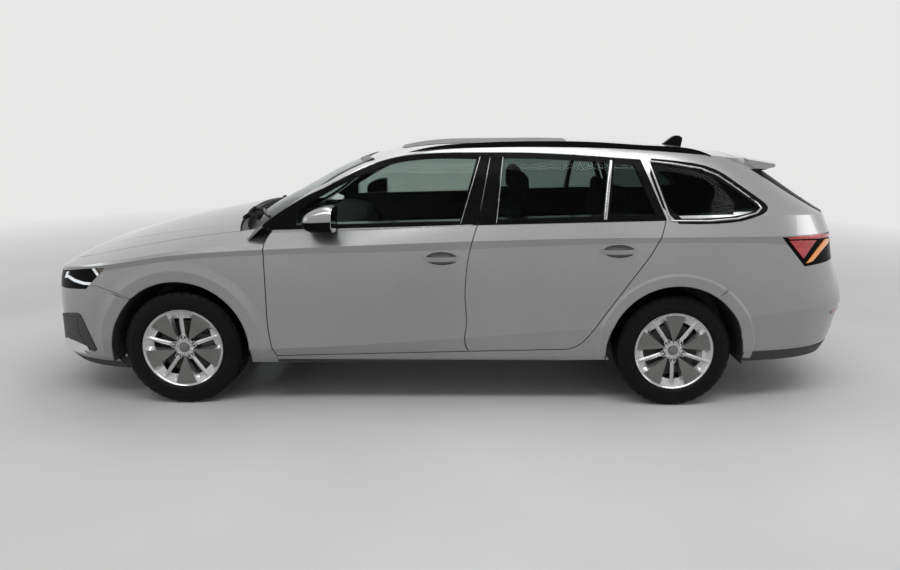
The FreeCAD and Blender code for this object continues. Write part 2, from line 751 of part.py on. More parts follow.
headlamp = headlamp.cut(lamp_zone).cut(block(-900, 900, -440, 10, 0, 1300))
headlamp = single(headlamp)
add_node("headlamps", Part.makeCompound([headlamp, mirrored(headlamp)]))
tail_lamp = skin(1).common(side_prism(tail_lamp_outline)).cut(skin(70))
tail_lamp = tail_lamp.cut(end_prism(tailgate_outline, 2900, 3950, gap))
tail_lamp = single(tail_lamp)
add_node("tail_lamps", Part.makeCompound([tail_lamp, mirrored(tail_lamp)]))
tail = outer.common(side_prism(rear_bumper_outline, -seat, 1150, 0)).cut(bumper_inner).cut(rear_arch)
tail = tail.cut(end_prism(tailgate_outline, 2900, 3950, gap))
tail = tail.cut(side_prism(tail_lamp_outline, seat).common(block(3100, 3900, -1000, -560, 700, 1100)))
add_node("rear_bumper", both_halves(single(tail)))

# Tailgate with its spoiler and glass
tailgate_zone = end_prism(tailgate_outline, roof_rear_station + 8, 3950)
tailgate = outer.common(tailgate_zone).common(under_roof).cut(skin(size("tailgate_thickness")).common(under_roof_lining))
spoiler_outline = outline_wire(straight((3150, 1450), (3150, 1290), (3205, 1290), (3385, 1334), (3392, 1450)), side_point)
spoiler_plan = outline_wire([[(3100, -20), (3300, -20)], [(3395, -20)], [(3392, 200), (3375, 400), (3310, 548)], [(3100, 548)]], plan_point)
spoiler = side_prism(spoiler_outline, 0, 600, 0).common(under_roof).common(plan_prism(spoiler_plan, 1200, 1500))
tailgate = tailgate.fuse(spoiler)
tailgate = tailgate.cut(end_prism(rear_glass_outline, 3100, 3950).cut(spoiler))
tailgate = single(tailgate)
tailgate_whole = both_halves(tailgate)
add_node("tailgate", tailgate_whole)
rear_glass = glass_outer.common(end_prism(rear_glass_outline, 3100, 3950, -seat)).cut(glass_inner).cut(tailgate)
add_node("tailgate_glass", both_halves(single(rear_glass)))

# Roof rails and antenna
def roof_rail():
    """A slim bar standing on the roof edge, its ends swept down on to it."""
    rows = ((1190, 1376), (1323, 1410), (1550, 1436), (1833, 1449), (2015, 1452), (2288, 1448), (2574, 1433),
            (2850, 1404), (2935, 1366))
    top = Part.BSplineCurve()
    top.interpolate(Points=[side_point(s, z) for s, z in rows])
    low = Part.makeLine(top.EndPoint, top.StartPoint)
    face = Part.Face(Part.Wire([top.toShape(), low]))
    face.translate(Vector(0, -y_at(612) - size("rail_width") / 2, 0))
    return face.extrude(Vector(0, size("rail_width"), 0))


rail = single(roof_rail().cut(under_roof).cut(side_solid))
add_node("roof_rails", Part.makeCompound([rail, mirrored(rail)]))
fin_outline = outline_wire([
    [(2765, 1400), (2925, 1400)],
    [(2930, 1440)],
    [(2922, 1480), (2900, 1486), (2860, 1470), (2765, 1424)],
], side_point)
fin = side_prism(fin_outline, 0, 18, -18).cut(under_roof)
add_node("roof_antenna", single(fin))

# Door mirrors
# Sections of the mirror housing: station, middle height, half height and half width
MIRROR_SECTIONS = ((698, 1026, 20, 46), (707, 1028, 36, 72), (728, 1031, 50, 88), (760, 1036, 61, 96),
                   (800, 1041, 69, 100), (836, 1043, 70, 100), (852, 1042, 66, 97))
MIRROR_ROUND = 2.9


def make_mirror():
    """A housing lofted through rounded sections, on a foot that stands on the door."""
    reach = size("mirror_reach")
    widest = max(half for _, _, _, half in MIRROR_SECTIONS)
    wires = []
    for station, height, half_height, half_width in MIRROR_SECTIONS:
        points = []
        for i in range(16):
            a = math.radians(22.5 * i)
            y = abs(math.cos(a)) ** (2 / MIRROR_ROUND) * math.copysign(half_width, math.cos(a))
            z = abs(math.sin(a)) ** (2 / MIRROR_ROUND) * math.copysign(half_height, math.sin(a))
            points.append(Vector(x_at(station), widest - reach + y, z_at(height) + z))
        curve = Part.BSplineCurve()
        curve.interpolate(Points=points, PeriodicFlag=True)
        wires.append(Part.Wire([curve.toShape()]))
    housing = Part.makeLoft(wires, True, False)
    foot = Part.makeBox(54, 170, 30, Vector(x_at(742), -y_at(855) - 90, z_at(978)))
    mirror = housing.fuse(foot)
    return single(mirror.cut(skin(-seat, -seat)))


add_pair("door_mirror", make_mirror())


# Wheels: a rim made once and set at each corner, and its tyre
def make_tyre():
    outer_radius = size("tyre_radius")
    bead = size("rim_radius") - 4 + seat
    half = size("tyre_width") / 2
    profile = [(bead, -half * 0.9), (bead + 14, -half * 0.97), ((bead + outer_radius) / 2, -half),
               (outer_radius - 18, -half * 0.93), (outer_radius, -half * 0.72),
               (outer_radius, half * 0.72), (outer_radius - 18, half * 0.93),
               ((bead + outer_radius) / 2, half), (bead, half * 0.9)]
    wire = Part.makePolygon([Vector(0, w, r) for r, w in profile + profile[:1]])
    return Part.Face(wire).revolve(Vector(0, 0, 0), Vector(0, 1, 0), 360)


def make_rim():
    """Barrel with lips, a dished disc, five pairs of slots, a hub bore and five bolt holes."""
    lip = size("rim_radius")
    wall = size("rim_wall")
    half = size("tyre_width") / 2
    seat_radius = lip - 4
    outer_lip = -half * 0.9 - size("rim_lip_stand")
    profile = [(seat_radius, outer_lip + 2), (lip, outer_lip), (lip, outer_lip + 6), (seat_radius, outer_lip + 8),
               (seat_radius, half * 0.9), (lip, half * 0.9 + 4), (lip - wall, half * 0.9 + 4),
               (seat_radius - wall, half * 0.8), (seat_radius - wall, outer_lip + 2)]
    barrel_profile = [(lip - 3, outer_lip - 1), (lip, outer_lip + 2), (seat_radius, outer_lip + 5), (seat_radius, half * 0.9),
                      (seat_radius - wall, half * 0.9), (seat_radius - wall, outer_lip + 4)]
    barrel = Part.Face(Part.makePolygon([Vector(0, w, r) for r, w in barrel_profile + barrel_profile[:1]]))
    barrel = barrel.revolve(Vector(0, 0, 0), Vector(0, 1, 0), 360)
    face_y = outer_lip + 6
    hub_y = outer_lip + size("hub_face_inset")
    thick = size("wheel_disc_thickness")
    disc_profile = [(0, hub_y), (60, hub_y), (82, face_y), (seat_radius - wall + 1, outer_lip + 4),
                    (seat_radius - wall + 1, face_y + 16), (82, face_y + thick * 0.7), (70, hub_y + thick), (0, hub_y + thick)]
    disc = Part.Face(Part.makePolygon([Vector(0, w, r) for r, w in disc_profile + disc_profile[:1]]))
    disc = disc.revolve(Vector(0, 0, 0), Vector(0, 1, 0), 360)
    rim = barrel.fuse(disc)
    slot_low = size("slot_inner_radius")
    slot_high = size("slot_outer_radius")
    slot_half = size("slot_width") / 2
    corners = [(-slot_half * 0.45, slot_low), (slot_half * 0.45, slot_low), (slot_half, slot_high), (-slot_half, slot_high)]
    slot = Part.Face(Part.makePolygon([Vector(x, -half * 2, r) for x, r in corners + corners[:1]]))
    slot = slot.extrude(Vector(0, half * 4, 0))
    holes = []
    for spoke in range(5):
        for side in (-1, 1):
            hole = slot.copy()
            hole.rotate(Vector(0, 0, 0), Vector(0, 1, 0), 72 * spoke + side * size("slot_half_angle"))
            holes.append(hole)
        angle = math.radians(72 * spoke)
        bolt = Vector(math.sin(angle) * size("bolt_circle_diameter") / 2, -half * 2, math.cos(angle) * size("bolt_circle_diameter") / 2)
        holes.append(Part.makeCylinder(size("bolt_hole_radius"), half * 4, bolt, Vector(0, 1, 0)))
    hub = Part.makeCylinder(size("hub_bore_radius"), 40, Vector(0, hub_y + 16, 0), Vector(0, 1, 0))
    rim = rim.cut(holes + [hub])
    return single(rim)


rim = make_rim()
tyre = make_tyre().cut(rim)
rim_hub_back = -size("tyre_width") / 2 * 0.9 - size("rim_lip_stand") + size("hub_face_inset") + size("wheel_disc_thickness")
for name, axle in (("front", front_axle), ("rear", rear_axle)):
    for shape, label in ((rim, "rim"), (tyre, "tyre")):
        add_pair("%s_%s" % (name, label), shape, Vector(axle, -wheel_plane, wheel_height))


def hub_unit(axle):
    """Flange, spigot and brake disc behind a left wheel."""
    y_face = -wheel_plane + rim_hub_back
    flange = Part.makeCylinder(size("hub_radius"), 12, Vector(axle, y_face, wheel_height), Vector(0, 1, 0))
    spigot = Part.makeCylinder(size("hub_bore_radius") - seat, 14, Vector(axle, y_face - 14, wheel_height), Vector(0, 1, 0))
    disc = Part.makeCylinder(size("brake_disc_radius"), size("brake_disc_thickness"),
                             Vector(axle, y_face + 6, wheel_height), Vector(0, 1, 0))
    return flange.fuse([spigot, disc])


def make_knuckle():
    low = kingpin_point - axis_up * 120
    strut = Part.makeCylinder(size("strut_radius"), strut_along.Length, strut_foot, strut_along)
    upright = Part.makeBox(50, 46, 210, Vector(front_axle - 25, strut_foot.y - 23, wheel_height - 20))
    post = Part.makeCylinder(22, 160, low, axis_up)
    carrier = Part.makeCylinder(48, 185, Vector(front_axle, -wheel_plane + rim_hub_back + 10, wheel_height), Vector(0, 1, 0))
    caliper = Part.makeBox(70, 60, 110, Vector(front_axle + 85, -wheel_plane + rim_hub_back - 6, wheel_height - 40))
    bridge = Part.makeBox(120, 30, 60, Vector(front_axle, -wheel_plane + rim_hub_back + 32, wheel_height - 30))
    steer_arm = Part.makeBox(110, 24, 20, Vector(front_axle, kingpin_y - 4, wheel_height - 70))
    return single(hub_unit(front_axle).fuse([strut, upright, post, carrier, caliper, bridge, steer_arm]))


add_pair("front_knuckle", make_knuckle())

rear_left = hub_unit(rear_axle)
rear_left = rear_left.fuse([
    Part.makeCylinder(45, 90, Vector(rear_axle, -wheel_plane + rim_hub_back + 10, wheel_height), Vector(0, 1, 0)),
    Part.makeCylinder(34, wheel_plane - rim_hub_back - 60, Vector(rear_axle + 20, -wheel_plane + rim_hub_back + 60, wheel_height + 22), Vector(0, 1, 0)),
    block(2440.3, 2720, -590, -540, 270, 330),
])
rear_left = rear_left.common(block(0, 3700, -1000, 0, 0, 1000))
add_node("rear_axle", both_halves(single(rear_left)))

subframe = block(-190, 220, -380, 0, 180, 225)
arm = Part.makeBox(90, 330, 24, Vector(front_axle - 20, kingpin_y + 30, 186))
ball = Part.makeCylinder(26, 14, kingpin_point - axis_up * 134.3, axis_up)
subframe = subframe.fuse([arm, Part.makeBox(60, 80, 20, Vector(front_axle - 30, kingpin_y - 20, 178)), block(150, 240, -470, -380, 180, 235), block(150, 240, -480, -430, 180, 379.7)])
subframe = subframe.cut(Part.makeCylinder(40, 200, kingpin_point - axis_up * 120.3, axis_up))
add_node("front_subframe", both_halves(single(subframe)))

# Engine as one plain block
engine = doc.addObject("Part::Box", "engine_block")
engine.Label = "engine_block"
engine.setExpression("Length", "Sizes.engine_length")
engine.setExpression("Width", "Sizes.engine_width")
engine.setExpression("Height", "Sizes.engine_height")
engine.Placement = FreeCAD.Placement(Vector(front_axle - 0.62 * size("engine_length"), -size("engine_width") / 2, z_at(330)), FreeCAD.Rotation())
nodes.append(engine)

# Exhaust under the floor
pipe = Part.makeCylinder(size("exhaust_radius"), x_at(2900) - x_at(260), Vector(x_at(260), 0, z_at(250)), Vector(1, 0, 0))
silencer = block(2900, 3420, -330, 100, 300, 420)
down = block(2860, 2960, -40, 40, 250, 400)
tip = Part.makeCylinder(size("exhaust_radius"), 260, Vector(x_at(3400), -y_at(300), z_at(330)), Vector(1, 0, 0))
add_node("exhaust", single(pipe.fuse([silencer, down, tip])))

# Cabin
dash_outline = outline_wire([
    [(402, 700), (402, 850)],
    [(560, 965)],
    [(700, 950), (790, 900), (800, 780)],
    [(700, 640)],
], side_point)
dash = side_prism(dash_outline, 0, 690, 0).common(cavity).common(under(SCREEN_ROWS, 30)).cut(side_frame_left)
dash = both_halves(single(dash))
column_dir = Vector(math.cos(math.radians(size("column_slope"))), 0, math.sin(math.radians(size("column_slope"))))
wheel_centre = Vector(x_at(1010), -y_at(370), z_at(885))
dash = dash.cut(Part.makeCylinder(30, 400, wheel_centre - column_dir * 380, column_dir))
add_node("dashboard", single(dash.cut(platform)))
steering = Part.makeTorus(size("steering_wheel_radius"), size("steering_rim_radius"), wheel_centre, column_dir)
boss = Part.makeCylinder(62, 45, wheel_centre - column_dir * 50, column_dir)
shaft = Part.makeCylinder(20, 330, wheel_centre - column_dir * 360, column_dir)
spoke = Part.makeBox(24, size("steering_wheel_radius") * 2, 40, Vector(-12, -size("steering_wheel_radius"), -20))
spoke.rotate(Vector(0, 0, 0), Vector(0, 1, 0), -size("column_slope"))
spoke.translate(wheel_centre - column_dir * 14)
add_node("steering_wheel", single(steering.fuse([boss, shaft, spoke])))


def rounded_block(s0, s1, y0, y1, z0, z1, radius):
    box = block(s0, s1, y0, y1, z0, z1)
    return box.makeFillet(radius, box.Edges)


def front_seat():
    cushion = rounded_block(1090, 1600, -640, -130, 400, 560, 50)
    back = rounded_block(1560, 1680, -630, -140, 500, 1110, 45)
    back.rotate(Vector(x_at(1620), 0, z_at(500)), Vector(0, 1, 0), 18)
    rest = rounded_block(1800, 1890, -500, -270, 1080, 1260, 38)
    stalk = block(1790, 1850, -420, -350, 1010, 1120)
    base = block(1150, 1560, -600, -170, floor_top, 430)
    return single(base.fuse([cushion, back, rest, stalk]))


left_seat = front_seat()
add_node("front_seats", Part.makeCompound([left_seat, mirrored(left_seat)]))
rear_cushion = rounded_block(1950, 2395, -600, 600, 400, 540, 45)
rear_back = rounded_block(2400, 2510, -560, 560, load_floor + 1, 1060, 40)
rear_base = block(2000, 2385, -540, 540, floor_top, 420)
add_node("rear_seat", single(rear_cushion.fuse([rear_base]).cut(platform)))
add_node("rear_seat_back", rear_back)

doc.recompute()

for feature in doc.Objects:
    if "Invalid" in feature.State or "Error" in feature.State:
        raise RuntimeError("failed object " + feature.Name)
faulty = [feature.Label for feature in nodes if feature.Shape.isNull() or not feature.Shape.isValid()]
if faulty:
    raise RuntimeError("bad shapes " + ", ".join(faulty))
for feature in nodes:
    feature.Shape.exportStep("parts/%s.step" % feature.Label)
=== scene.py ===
import json
import math
import bmesh
import bpy
from mathutils import Matrix, Vector, bvhtree, geometry

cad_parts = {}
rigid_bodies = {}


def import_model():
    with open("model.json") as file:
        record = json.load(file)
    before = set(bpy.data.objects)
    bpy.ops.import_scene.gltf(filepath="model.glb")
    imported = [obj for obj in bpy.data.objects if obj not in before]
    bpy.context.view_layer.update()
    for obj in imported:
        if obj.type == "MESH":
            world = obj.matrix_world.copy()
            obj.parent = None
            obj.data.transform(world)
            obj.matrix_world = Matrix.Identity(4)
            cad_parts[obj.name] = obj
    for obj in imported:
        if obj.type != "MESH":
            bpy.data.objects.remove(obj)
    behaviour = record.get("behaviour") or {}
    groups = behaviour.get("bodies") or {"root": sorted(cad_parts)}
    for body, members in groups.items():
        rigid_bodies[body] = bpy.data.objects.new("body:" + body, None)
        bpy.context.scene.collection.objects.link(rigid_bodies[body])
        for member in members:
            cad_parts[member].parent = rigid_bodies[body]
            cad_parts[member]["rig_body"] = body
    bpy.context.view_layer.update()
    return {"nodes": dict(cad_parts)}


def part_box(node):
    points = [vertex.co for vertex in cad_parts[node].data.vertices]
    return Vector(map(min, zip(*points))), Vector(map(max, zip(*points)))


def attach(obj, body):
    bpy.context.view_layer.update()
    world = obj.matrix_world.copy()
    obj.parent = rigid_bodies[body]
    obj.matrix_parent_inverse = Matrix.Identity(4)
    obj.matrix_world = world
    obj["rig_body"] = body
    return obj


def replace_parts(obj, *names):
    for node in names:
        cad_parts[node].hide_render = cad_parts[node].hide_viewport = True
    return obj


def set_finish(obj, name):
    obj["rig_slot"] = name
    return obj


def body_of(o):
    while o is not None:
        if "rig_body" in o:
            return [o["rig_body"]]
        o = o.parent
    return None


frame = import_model()
NODES = frame["nodes"]
SCENE = bpy.context.scene

# Places are frame metres, and stations are millimetres behind the front axle, as in the part's own sheet
FRONT_AXLE = -1.4575
REAR_STATION = 2686
AXLE_HEIGHT = 0.316


def at(station):
    """Frame x of a station."""
    return FRONT_AXLE + station / 1000


def add_object(name, data):
    made = bpy.data.objects.new(name, data)
    SCENE.collection.objects.link(made)
    return made


# The camera, worked out from the photograph's wheels, roof and sills
IMAGE_WIDTH = 900
IMAGE_HEIGHT = 570
CAMERA_AT = Vector((0.1705, -4.094, 1.52))
CAMERA_YAW = math.radians(0.81)
CAMERA_DOWN = math.radians(9.03)
CAMERA_ROLL = math.radians(0.65)
SENSOR_WIDTH = 36
LENS = 24.64
SHIFT_X = -0.0462
SHIFT_Y = -0.0656


def make_camera():
    level = math.cos(CAMERA_DOWN)
    ahead = Vector((math.sin(CAMERA_YAW) * level, math.cos(CAMERA_YAW) * level, -math.sin(CAMERA_DOWN)))
    right = Vector((math.cos(CAMERA_YAW), -math.sin(CAMERA_YAW), 0))
    up = right.cross(ahead)
    turned_right = right * math.cos(CAMERA_ROLL) + up * math.sin(CAMERA_ROLL)
    turned_up = up * math.cos(CAMERA_ROLL) - right * math.sin(CAMERA_ROLL)
    data = bpy.data.cameras.new("camera")
    data.sensor_width = SENSOR_WIDTH
    data.lens = LENS
    data.shift_x = SHIFT_X
    data.shift_y = SHIFT_Y
    data.clip_end = 200
    camera = add_object("camera", data)
    turn = Matrix((turned_right, turned_up, -ahead)).transposed()
    camera.matrix_world = Matrix.Translation(CAMERA_AT) @ turn.to_4x4()
    SCENE.camera = camera


make_camera()


# Materials
def feed(tree, socket, value):
    """Links an input to another node's output, or sets it to a plain value."""
    if isinstance(value, bpy.types.NodeSocket):
        tree.links.new(value, socket)
    else:
        socket.default_value = value


def add_node(tree, kind, inputs, **values):
    made = tree.nodes.new(kind)
    for key, value in values.items():
        setattr(made, key, value)
    for key, value in inputs.items():
        feed(tree, made.inputs[key], value)
    return made


class Recipe:
    """A node material with a texture in the object's own space."""

    def __init__(self, name):
        self.material = bpy.data.materials.new(name)
        self.material.use_nodes = True
        self.tree = self.material.node_tree
        self.shader = self.tree.nodes["Principled BSDF"]
        self.place = self.node("ShaderNodeTexCoord", {}).outputs["Object"]

    def node(self, kind, inputs, **values):
        return add_node(self.tree, kind, inputs, **values)

    def put(self, **values):
        """Feeds the shader's inputs; an underscore stands for a space."""
        for key, value in values.items():
            full = (*value, 1) if isinstance(value, tuple) else value
            feed(self.tree, self.shader.inputs[key.replace("_", " ")], full)

    def noise(self, scale, detail, rough=0.5):
        inputs = {"Scale": scale, "Detail": detail, "Roughness": rough, "Vector": self.place}
        return self.node("ShaderNodeTexNoise", inputs).outputs["Fac"]

    def ramp(self, factor, *stops):
        made = self.node("ShaderNodeValToRGB", {"Fac": factor})
        for element, (place, colour) in zip(made.color_ramp.elements, stops):
            element.position = place
            element.color = (*colour, 1)
        return made.outputs["Color"]

    def spread(self, factor, low, high, from_low=0.3, from_high=0.7):
        inputs = {"Value": factor, "From Min": from_low, "From Max": from_high, "To Min": low, "To Max": high}
        return self.node("ShaderNodeMapRange", inputs).outputs["Result"]


GRAIN_DEPTH = 0.0006


def varied(name, dark, light, rough_low, rough_high, scale, bump=0, grain=0, **values):
    """A material whose colour and roughness drift a little, with an optional fine grain."""
    recipe = Recipe(name)
    drift = recipe.noise(scale, 4, 0.6)
    recipe.put(Base_Color=recipe.ramp(drift, (0.3, dark), (0.7, light)),
               Roughness=recipe.spread(drift, rough_low, rough_high), **values)
    if bump:
        inputs = {"Height": recipe.noise(grain, 2), "Strength": bump, "Distance": GRAIN_DEPTH}
        recipe.put(Normal=recipe.node("ShaderNodeBump", inputs).outputs["Normal"])
    return recipe.material


def make_paint():
    """Silver paint: small bright and dark flakes under a clear coat."""
    recipe = Recipe("silver_metallic_paint")
    flakes = recipe.node("ShaderNodeTexVoronoi", {"Scale": 900, "Vector": recipe.place}).outputs["Color"]
    base = recipe.ramp(recipe.noise(1.6, 2), (0.35, (0.27, 0.275, 0.272)), (0.65, (0.3, 0.305, 0.302)))
    sparkle = recipe.ramp(flakes, (0, (0.22, 0.225, 0.225)), (1, (0.42, 0.425, 0.425)))
    mix = recipe.node("ShaderNodeMix", {"Factor": 0.22, "A": base, "B": sparkle}, data_type="RGBA")
    recipe.put(Base_Color=mix.outputs["Result"], Roughness=recipe.spread(flakes, 0.26, 0.34, 0, 1),
               Metallic=0.9, Coat_Weight=1, Coat_Roughness=0.03, Coat_IOR=1.5)
    return recipe.material


def make_glass(name, tint):
    """Glass with a low index, which keeps the lamps' reflections faint."""
    recipe = Recipe(name)
    darker = tuple(c * 0.9 for c in tint)
    recipe.put(Base_Color=recipe.ramp(recipe.noise(3, 2), (0.3, darker), (0.7, tint)), Roughness=0,
               IOR=1.1, Transmission_Weight=1, Specular_IOR_Level=0.1)
    return recipe.material


PAINT = make_paint()
TINTED = make_glass("tinted_glass", (0.3, 0.36, 0.34))
DOOR_GLASS = make_glass("door_glass", (0.46, 0.53, 0.5))
PRIVACY = make_glass("privacy_glass", (0.09, 0.12, 0.11))
SCREEN_GLASS = make_glass("windscreen_glass", (0.55, 0.62, 0.59))

GLOSS_BLACK = varied(
    "gloss_black_trim", (0.004, 0.004, 0.0045), (0.007, 0.007, 0.0075), 0.2, 0.28, 6,
    Specular_IOR_Level=0.02)
SCREEN_EDGE = varied(
    "screen_edge_black", (0.004, 0.004, 0.004), (0.007, 0.007, 0.007), 0.25, 0.35, 9,
    Specular_IOR_Level=0.1)
PLASTIC = varied(
    "grained_black_plastic", (0.018, 0.018, 0.019), (0.03, 0.03, 0.031), 0.5, 0.66, 14, 0.35, 420)
CHROME = varied("satin_chrome", (0.72, 0.73, 0.74), (0.8, 0.8, 0.81), 0.1, 0.18, 8, Metallic=1)
WINDOW_LINE = varied(
    "satin_window_line", (0.3, 0.3, 0.31), (0.4, 0.4, 0.41), 0.2, 0.3, 30, Metallic=1)
MIRROR_GLASS = varied("mirror_glass", (0.75, 0.77, 0.78), (0.8, 0.82, 0.83), 0.01, 0.03, 6, Metallic=1)

UNDER = varied("underbody_coating", (0.02, 0.021, 0.022), (0.05, 0.05, 0.052), 0.6, 0.85, 5, 0.4, 160)
# Iron for the rear axle, knuckles and brake discs, darkened far below bare iron as painted shade for the
# parts that sit deep behind the wheels
IRON_IN_PAINTED_SHADE = varied(
    "axle_iron_painted_shade_dark", (0.035, 0.034, 0.032), (0.08, 0.077, 0.073), 0.4, 0.6, 12, 0.3, 200, Metallic=0.9)
ENGINE = varied(
    "cast_aluminium", (0.24, 0.24, 0.25), (0.36, 0.36, 0.37), 0.4, 0.6, 9, 0.4, 120, Metallic=0.8)
EXHAUST = varied(
    "exhaust_steel", (0.22, 0.21, 0.2), (0.38, 0.36, 0.34), 0.3, 0.5, 10, 0.2, 90, Metallic=1)

RUBBER = varied(
    "tyre_rubber", (0.002, 0.002, 0.0022), (0.005, 0.005, 0.0052), 0.42, 0.6, 18, 0.3, 300,
    Specular_IOR_Level=0.12)
ALLOY = varied(
    "bright_wheel_alloy", (0.46, 0.465, 0.465), (0.54, 0.545, 0.545), 0.2, 0.3, 12, Metallic=0.9,
    Coat_Weight=0.7, Coat_Roughness=0.06)
ALLOY_FLAT = varied(
    "matt_wheel_panels", (0.15, 0.153, 0.145), (0.19, 0.193, 0.185), 0.38, 0.5, 10, Metallic=0.7)
WHEEL_CAP = varied("wheel_cap", (0.16, 0.162, 0.165), (0.21, 0.212, 0.215), 0.2, 0.3, 30, Metallic=0.9)
BOLT_BLACK = varied("black_bolts", (0.012, 0.012, 0.012), (0.03, 0.03, 0.03), 0.25, 0.4, 60, Metallic=0.4)

CABIN = varied(
    "dark_cabin_plastic", (0.02, 0.02, 0.021), (0.035, 0.035, 0.036), 0.55, 0.7, 16, 0.1, 500,
    Specular_IOR_Level=0.06)
FABRIC = varied(
    "seat_fabric", (0.022, 0.022, 0.024), (0.05, 0.05, 0.053), 0.8, 0.95, 40, 0.3, 700,
    Specular_IOR_Level=0.06)
HEADLINER = varied(
    "pale_headliner", (0.22, 0.22, 0.215), (0.27, 0.27, 0.265), 0.85, 0.95, 30, 0.1, 600,
    Specular_IOR_Level=0.06)
CARPET = varied(
    "dark_carpet", (0.012, 0.012, 0.012), (0.025, 0.025, 0.025), 0.9, 1, 50, 0.3, 800,
    Specular_IOR_Level=0.06)

LAMP_WHITE = varied(
    "running_light", (0.8, 0.84, 0.88), (0.9, 0.93, 0.96), 0.15, 0.22, 30, Coat_Weight=1,
    Emission_Color=(0.85, 0.92, 1), Emission_Strength=0.25)
BRONZE = varied("lamp_bronze", (0.1, 0.085, 0.07), (0.2, 0.17, 0.14), 0.15, 0.25, 40, Metallic=0.8)
RED_LENS = varied(
    "red_tail_lens", (0.35, 0.006, 0.01), (0.55, 0.012, 0.016), 0.05, 0.1, 30, Coat_Weight=1,
    Coat_Roughness=0.02)
AMBER = varied(
    "amber_lens", (0.75, 0.22, 0.03), (0.85, 0.34, 0.06), 0.06, 0.1, 40, Coat_Weight=1,
    Emission_Color=(1, 0.35, 0.08), Emission_Strength=0.12)
DARK_RED = varied(
    "dark_red_lens", (0.05, 0.003, 0.004), (0.09, 0.004, 0.006), 0.08, 0.12, 40, Coat_Weight=1)
REFLECTOR = varied(
    "red_reflector", (0.2, 0.01, 0.014), (0.3, 0.015, 0.02), 0.1, 0.16, 120, 0.5, 500, Coat_Weight=1)

# The slot that each finish stands for on the pieces made here
SLOTS = {
    PAINT: "body_paint", GLOSS_BLACK: "gloss_black", SCREEN_EDGE: "gloss_black", PLASTIC: "black_plastic",
    RUBBER: "tyre_rubber", FABRIC: "seat_fabric", LAMP_WHITE: "lamp_lens", BRONZE: "lamp_lens",
    RED_LENS: "red_lens", AMBER: "red_lens", DARK_RED: "red_lens", REFLECTOR: "red_lens",
}

# The CAD nodes' own finishes; a star stands for left and right
FINISHES = (
    (PAINT, "roof bonnet tailgate front_bumper rear_bumper"),
    (PAINT, "side_frame_* front_fender_* front_door_* rear_door_* door_mirror_*"),
    (GLOSS_BLACK, "grille headlamps tail_lamps roof_rails roof_antenna"),
    (PLASTIC, "cowl"), (SCREEN_GLASS, "windscreen"), (PRIVACY, "quarter_glass"),
    (TINTED, "tailgate_glass rear_door_glass_*"), (DOOR_GLASS, "front_door_glass_*"),
    (UNDER, "floor_pan front_subframe"), (IRON_IN_PAINTED_SHADE, "rear_axle front_knuckle_*"), (ENGINE, "engine_block"),
    (EXHAUST, "exhaust"), (CABIN, "dashboard steering_wheel"),
    (FABRIC, "front_seats rear_seat rear_seat_back"), (ALLOY, "front_rim_* rear_rim_*"),
    (RUBBER, "front_tyre_* rear_tyre_*"),
)
for finish, patterns in FINISHES:
    names = patterns.replace("*", "left").split() + patterns.replace("*", "right").split()
    for node in [NODES[name] for name in names]:
        if not node.material_slots:
            node.data.materials.append(finish)
        for index in range(len(node.material_slots)):
            node.material_slots[index].material = finish


# Pieces and meshes
def piece(name, mesh, body, finish=None, slot=None):
    """A finished mesh as an object that rides on a body."""
    made = add_object(name, mesh)
    if finish is not None:
        mesh.materials.clear()
        mesh.materials.append(finish)
        slot = slot or SLOTS.get(finish)
    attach(made, body)
    if slot:
        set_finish(made, slot)
    return made


def mirrored(source, name):
    """The same piece on the other side of the car."""
    mesh = source.data.copy()
    mesh.name = name
    mesh.transform(Matrix.Diagonal((1, -1, 1, 1)))
    mesh.flip_normals()
    body = body_of(source)[0].replace("_left", "_right")
    return piece(name, mesh, body, slot=source.get("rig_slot"))


def pair(maker, name, *args, **values):
    """A piece on the left and its mirror image on the right."""
    made = maker(name + "_left", *args, **values)
    mirrored(made, name + "_right")


def to_mesh(bm, name):
    mesh = bpy.data.meshes.new(name)
    bm.to_mesh(mesh)
    bm.free()
    return mesh


def smooth(bm, angle):
    """Smooth faces, with the edges that are sharper than an angle in degrees left sharp."""
    for face in bm.faces:
        face.smooth = True
    for edge in bm.edges:
        if len(edge.link_faces) == 2:
            edge.smooth = edge.calc_face_angle(0) < math.radians(angle)


def finish_mesh(bm, name, angle=35):
    bmesh.ops.recalc_face_normals(bm, faces=bm.faces)
    smooth(bm, angle)
    return to_mesh(bm, name)


def bridge(bm, rings, wrapped=True, looped=False):
    """Quads between neighbouring rings: all round each if wrapped, and from last to first if looped."""
    for one, two in zip(rings, rings[1:] + rings[:1] if looped else rings[1:]):
        for k in range(len(one) if wrapped else len(one) - 1):
            m = (k + 1) % len(one)
            bm.faces.new([one[k], one[m], two[m], two[k]])


def cap_ends(bm, rings):
    bm.faces.new(rings[0])
    bm.faces.new(list(reversed(rings[-1])))


def around(centre, radius, angle, across):
    """A place round a line along Y, at an angle from upright."""
    return centre[0] + radius * math.sin(angle), across, centre[2] + radius * math.cos(angle)


def turned(profile, segments, centre, smooth_angle=35):
    """A closed ring or disc turned from (radius, across) points."""
    bm = bmesh.new()
    rings = []
    for i in range(segments):
        angle = 2 * math.pi * i / segments
        rings.append([bm.verts.new(around(centre, r, angle, w)) for r, w in profile])
    bridge(bm, rings, looped=True)
    bmesh.ops.remove_doubles(bm, verts=bm.verts, dist=1e-05)
    return finish_mesh(bm, "turned", smooth_angle)


def lofted(rings, name, smooth_angle):
    """A closed body through rings with equal numbers of points."""
    bm = bmesh.new()
    made = [[bm.verts.new(p) for p in ring] for ring in rings]
    bridge(bm, made)
    cap_ends(bm, made)
    return finish_mesh(bm, name, smooth_angle)


def table(value, pairs):
    """Straight-line interpolation in a short table."""
    if value <= pairs[0][0]:
        return pairs[0][1]
    for (a, low), (b, high) in zip(pairs, pairs[1:]):
        if value <= b:
            return low + (high - low) * (value - a) / (b - a)
    return pairs[-1][1]


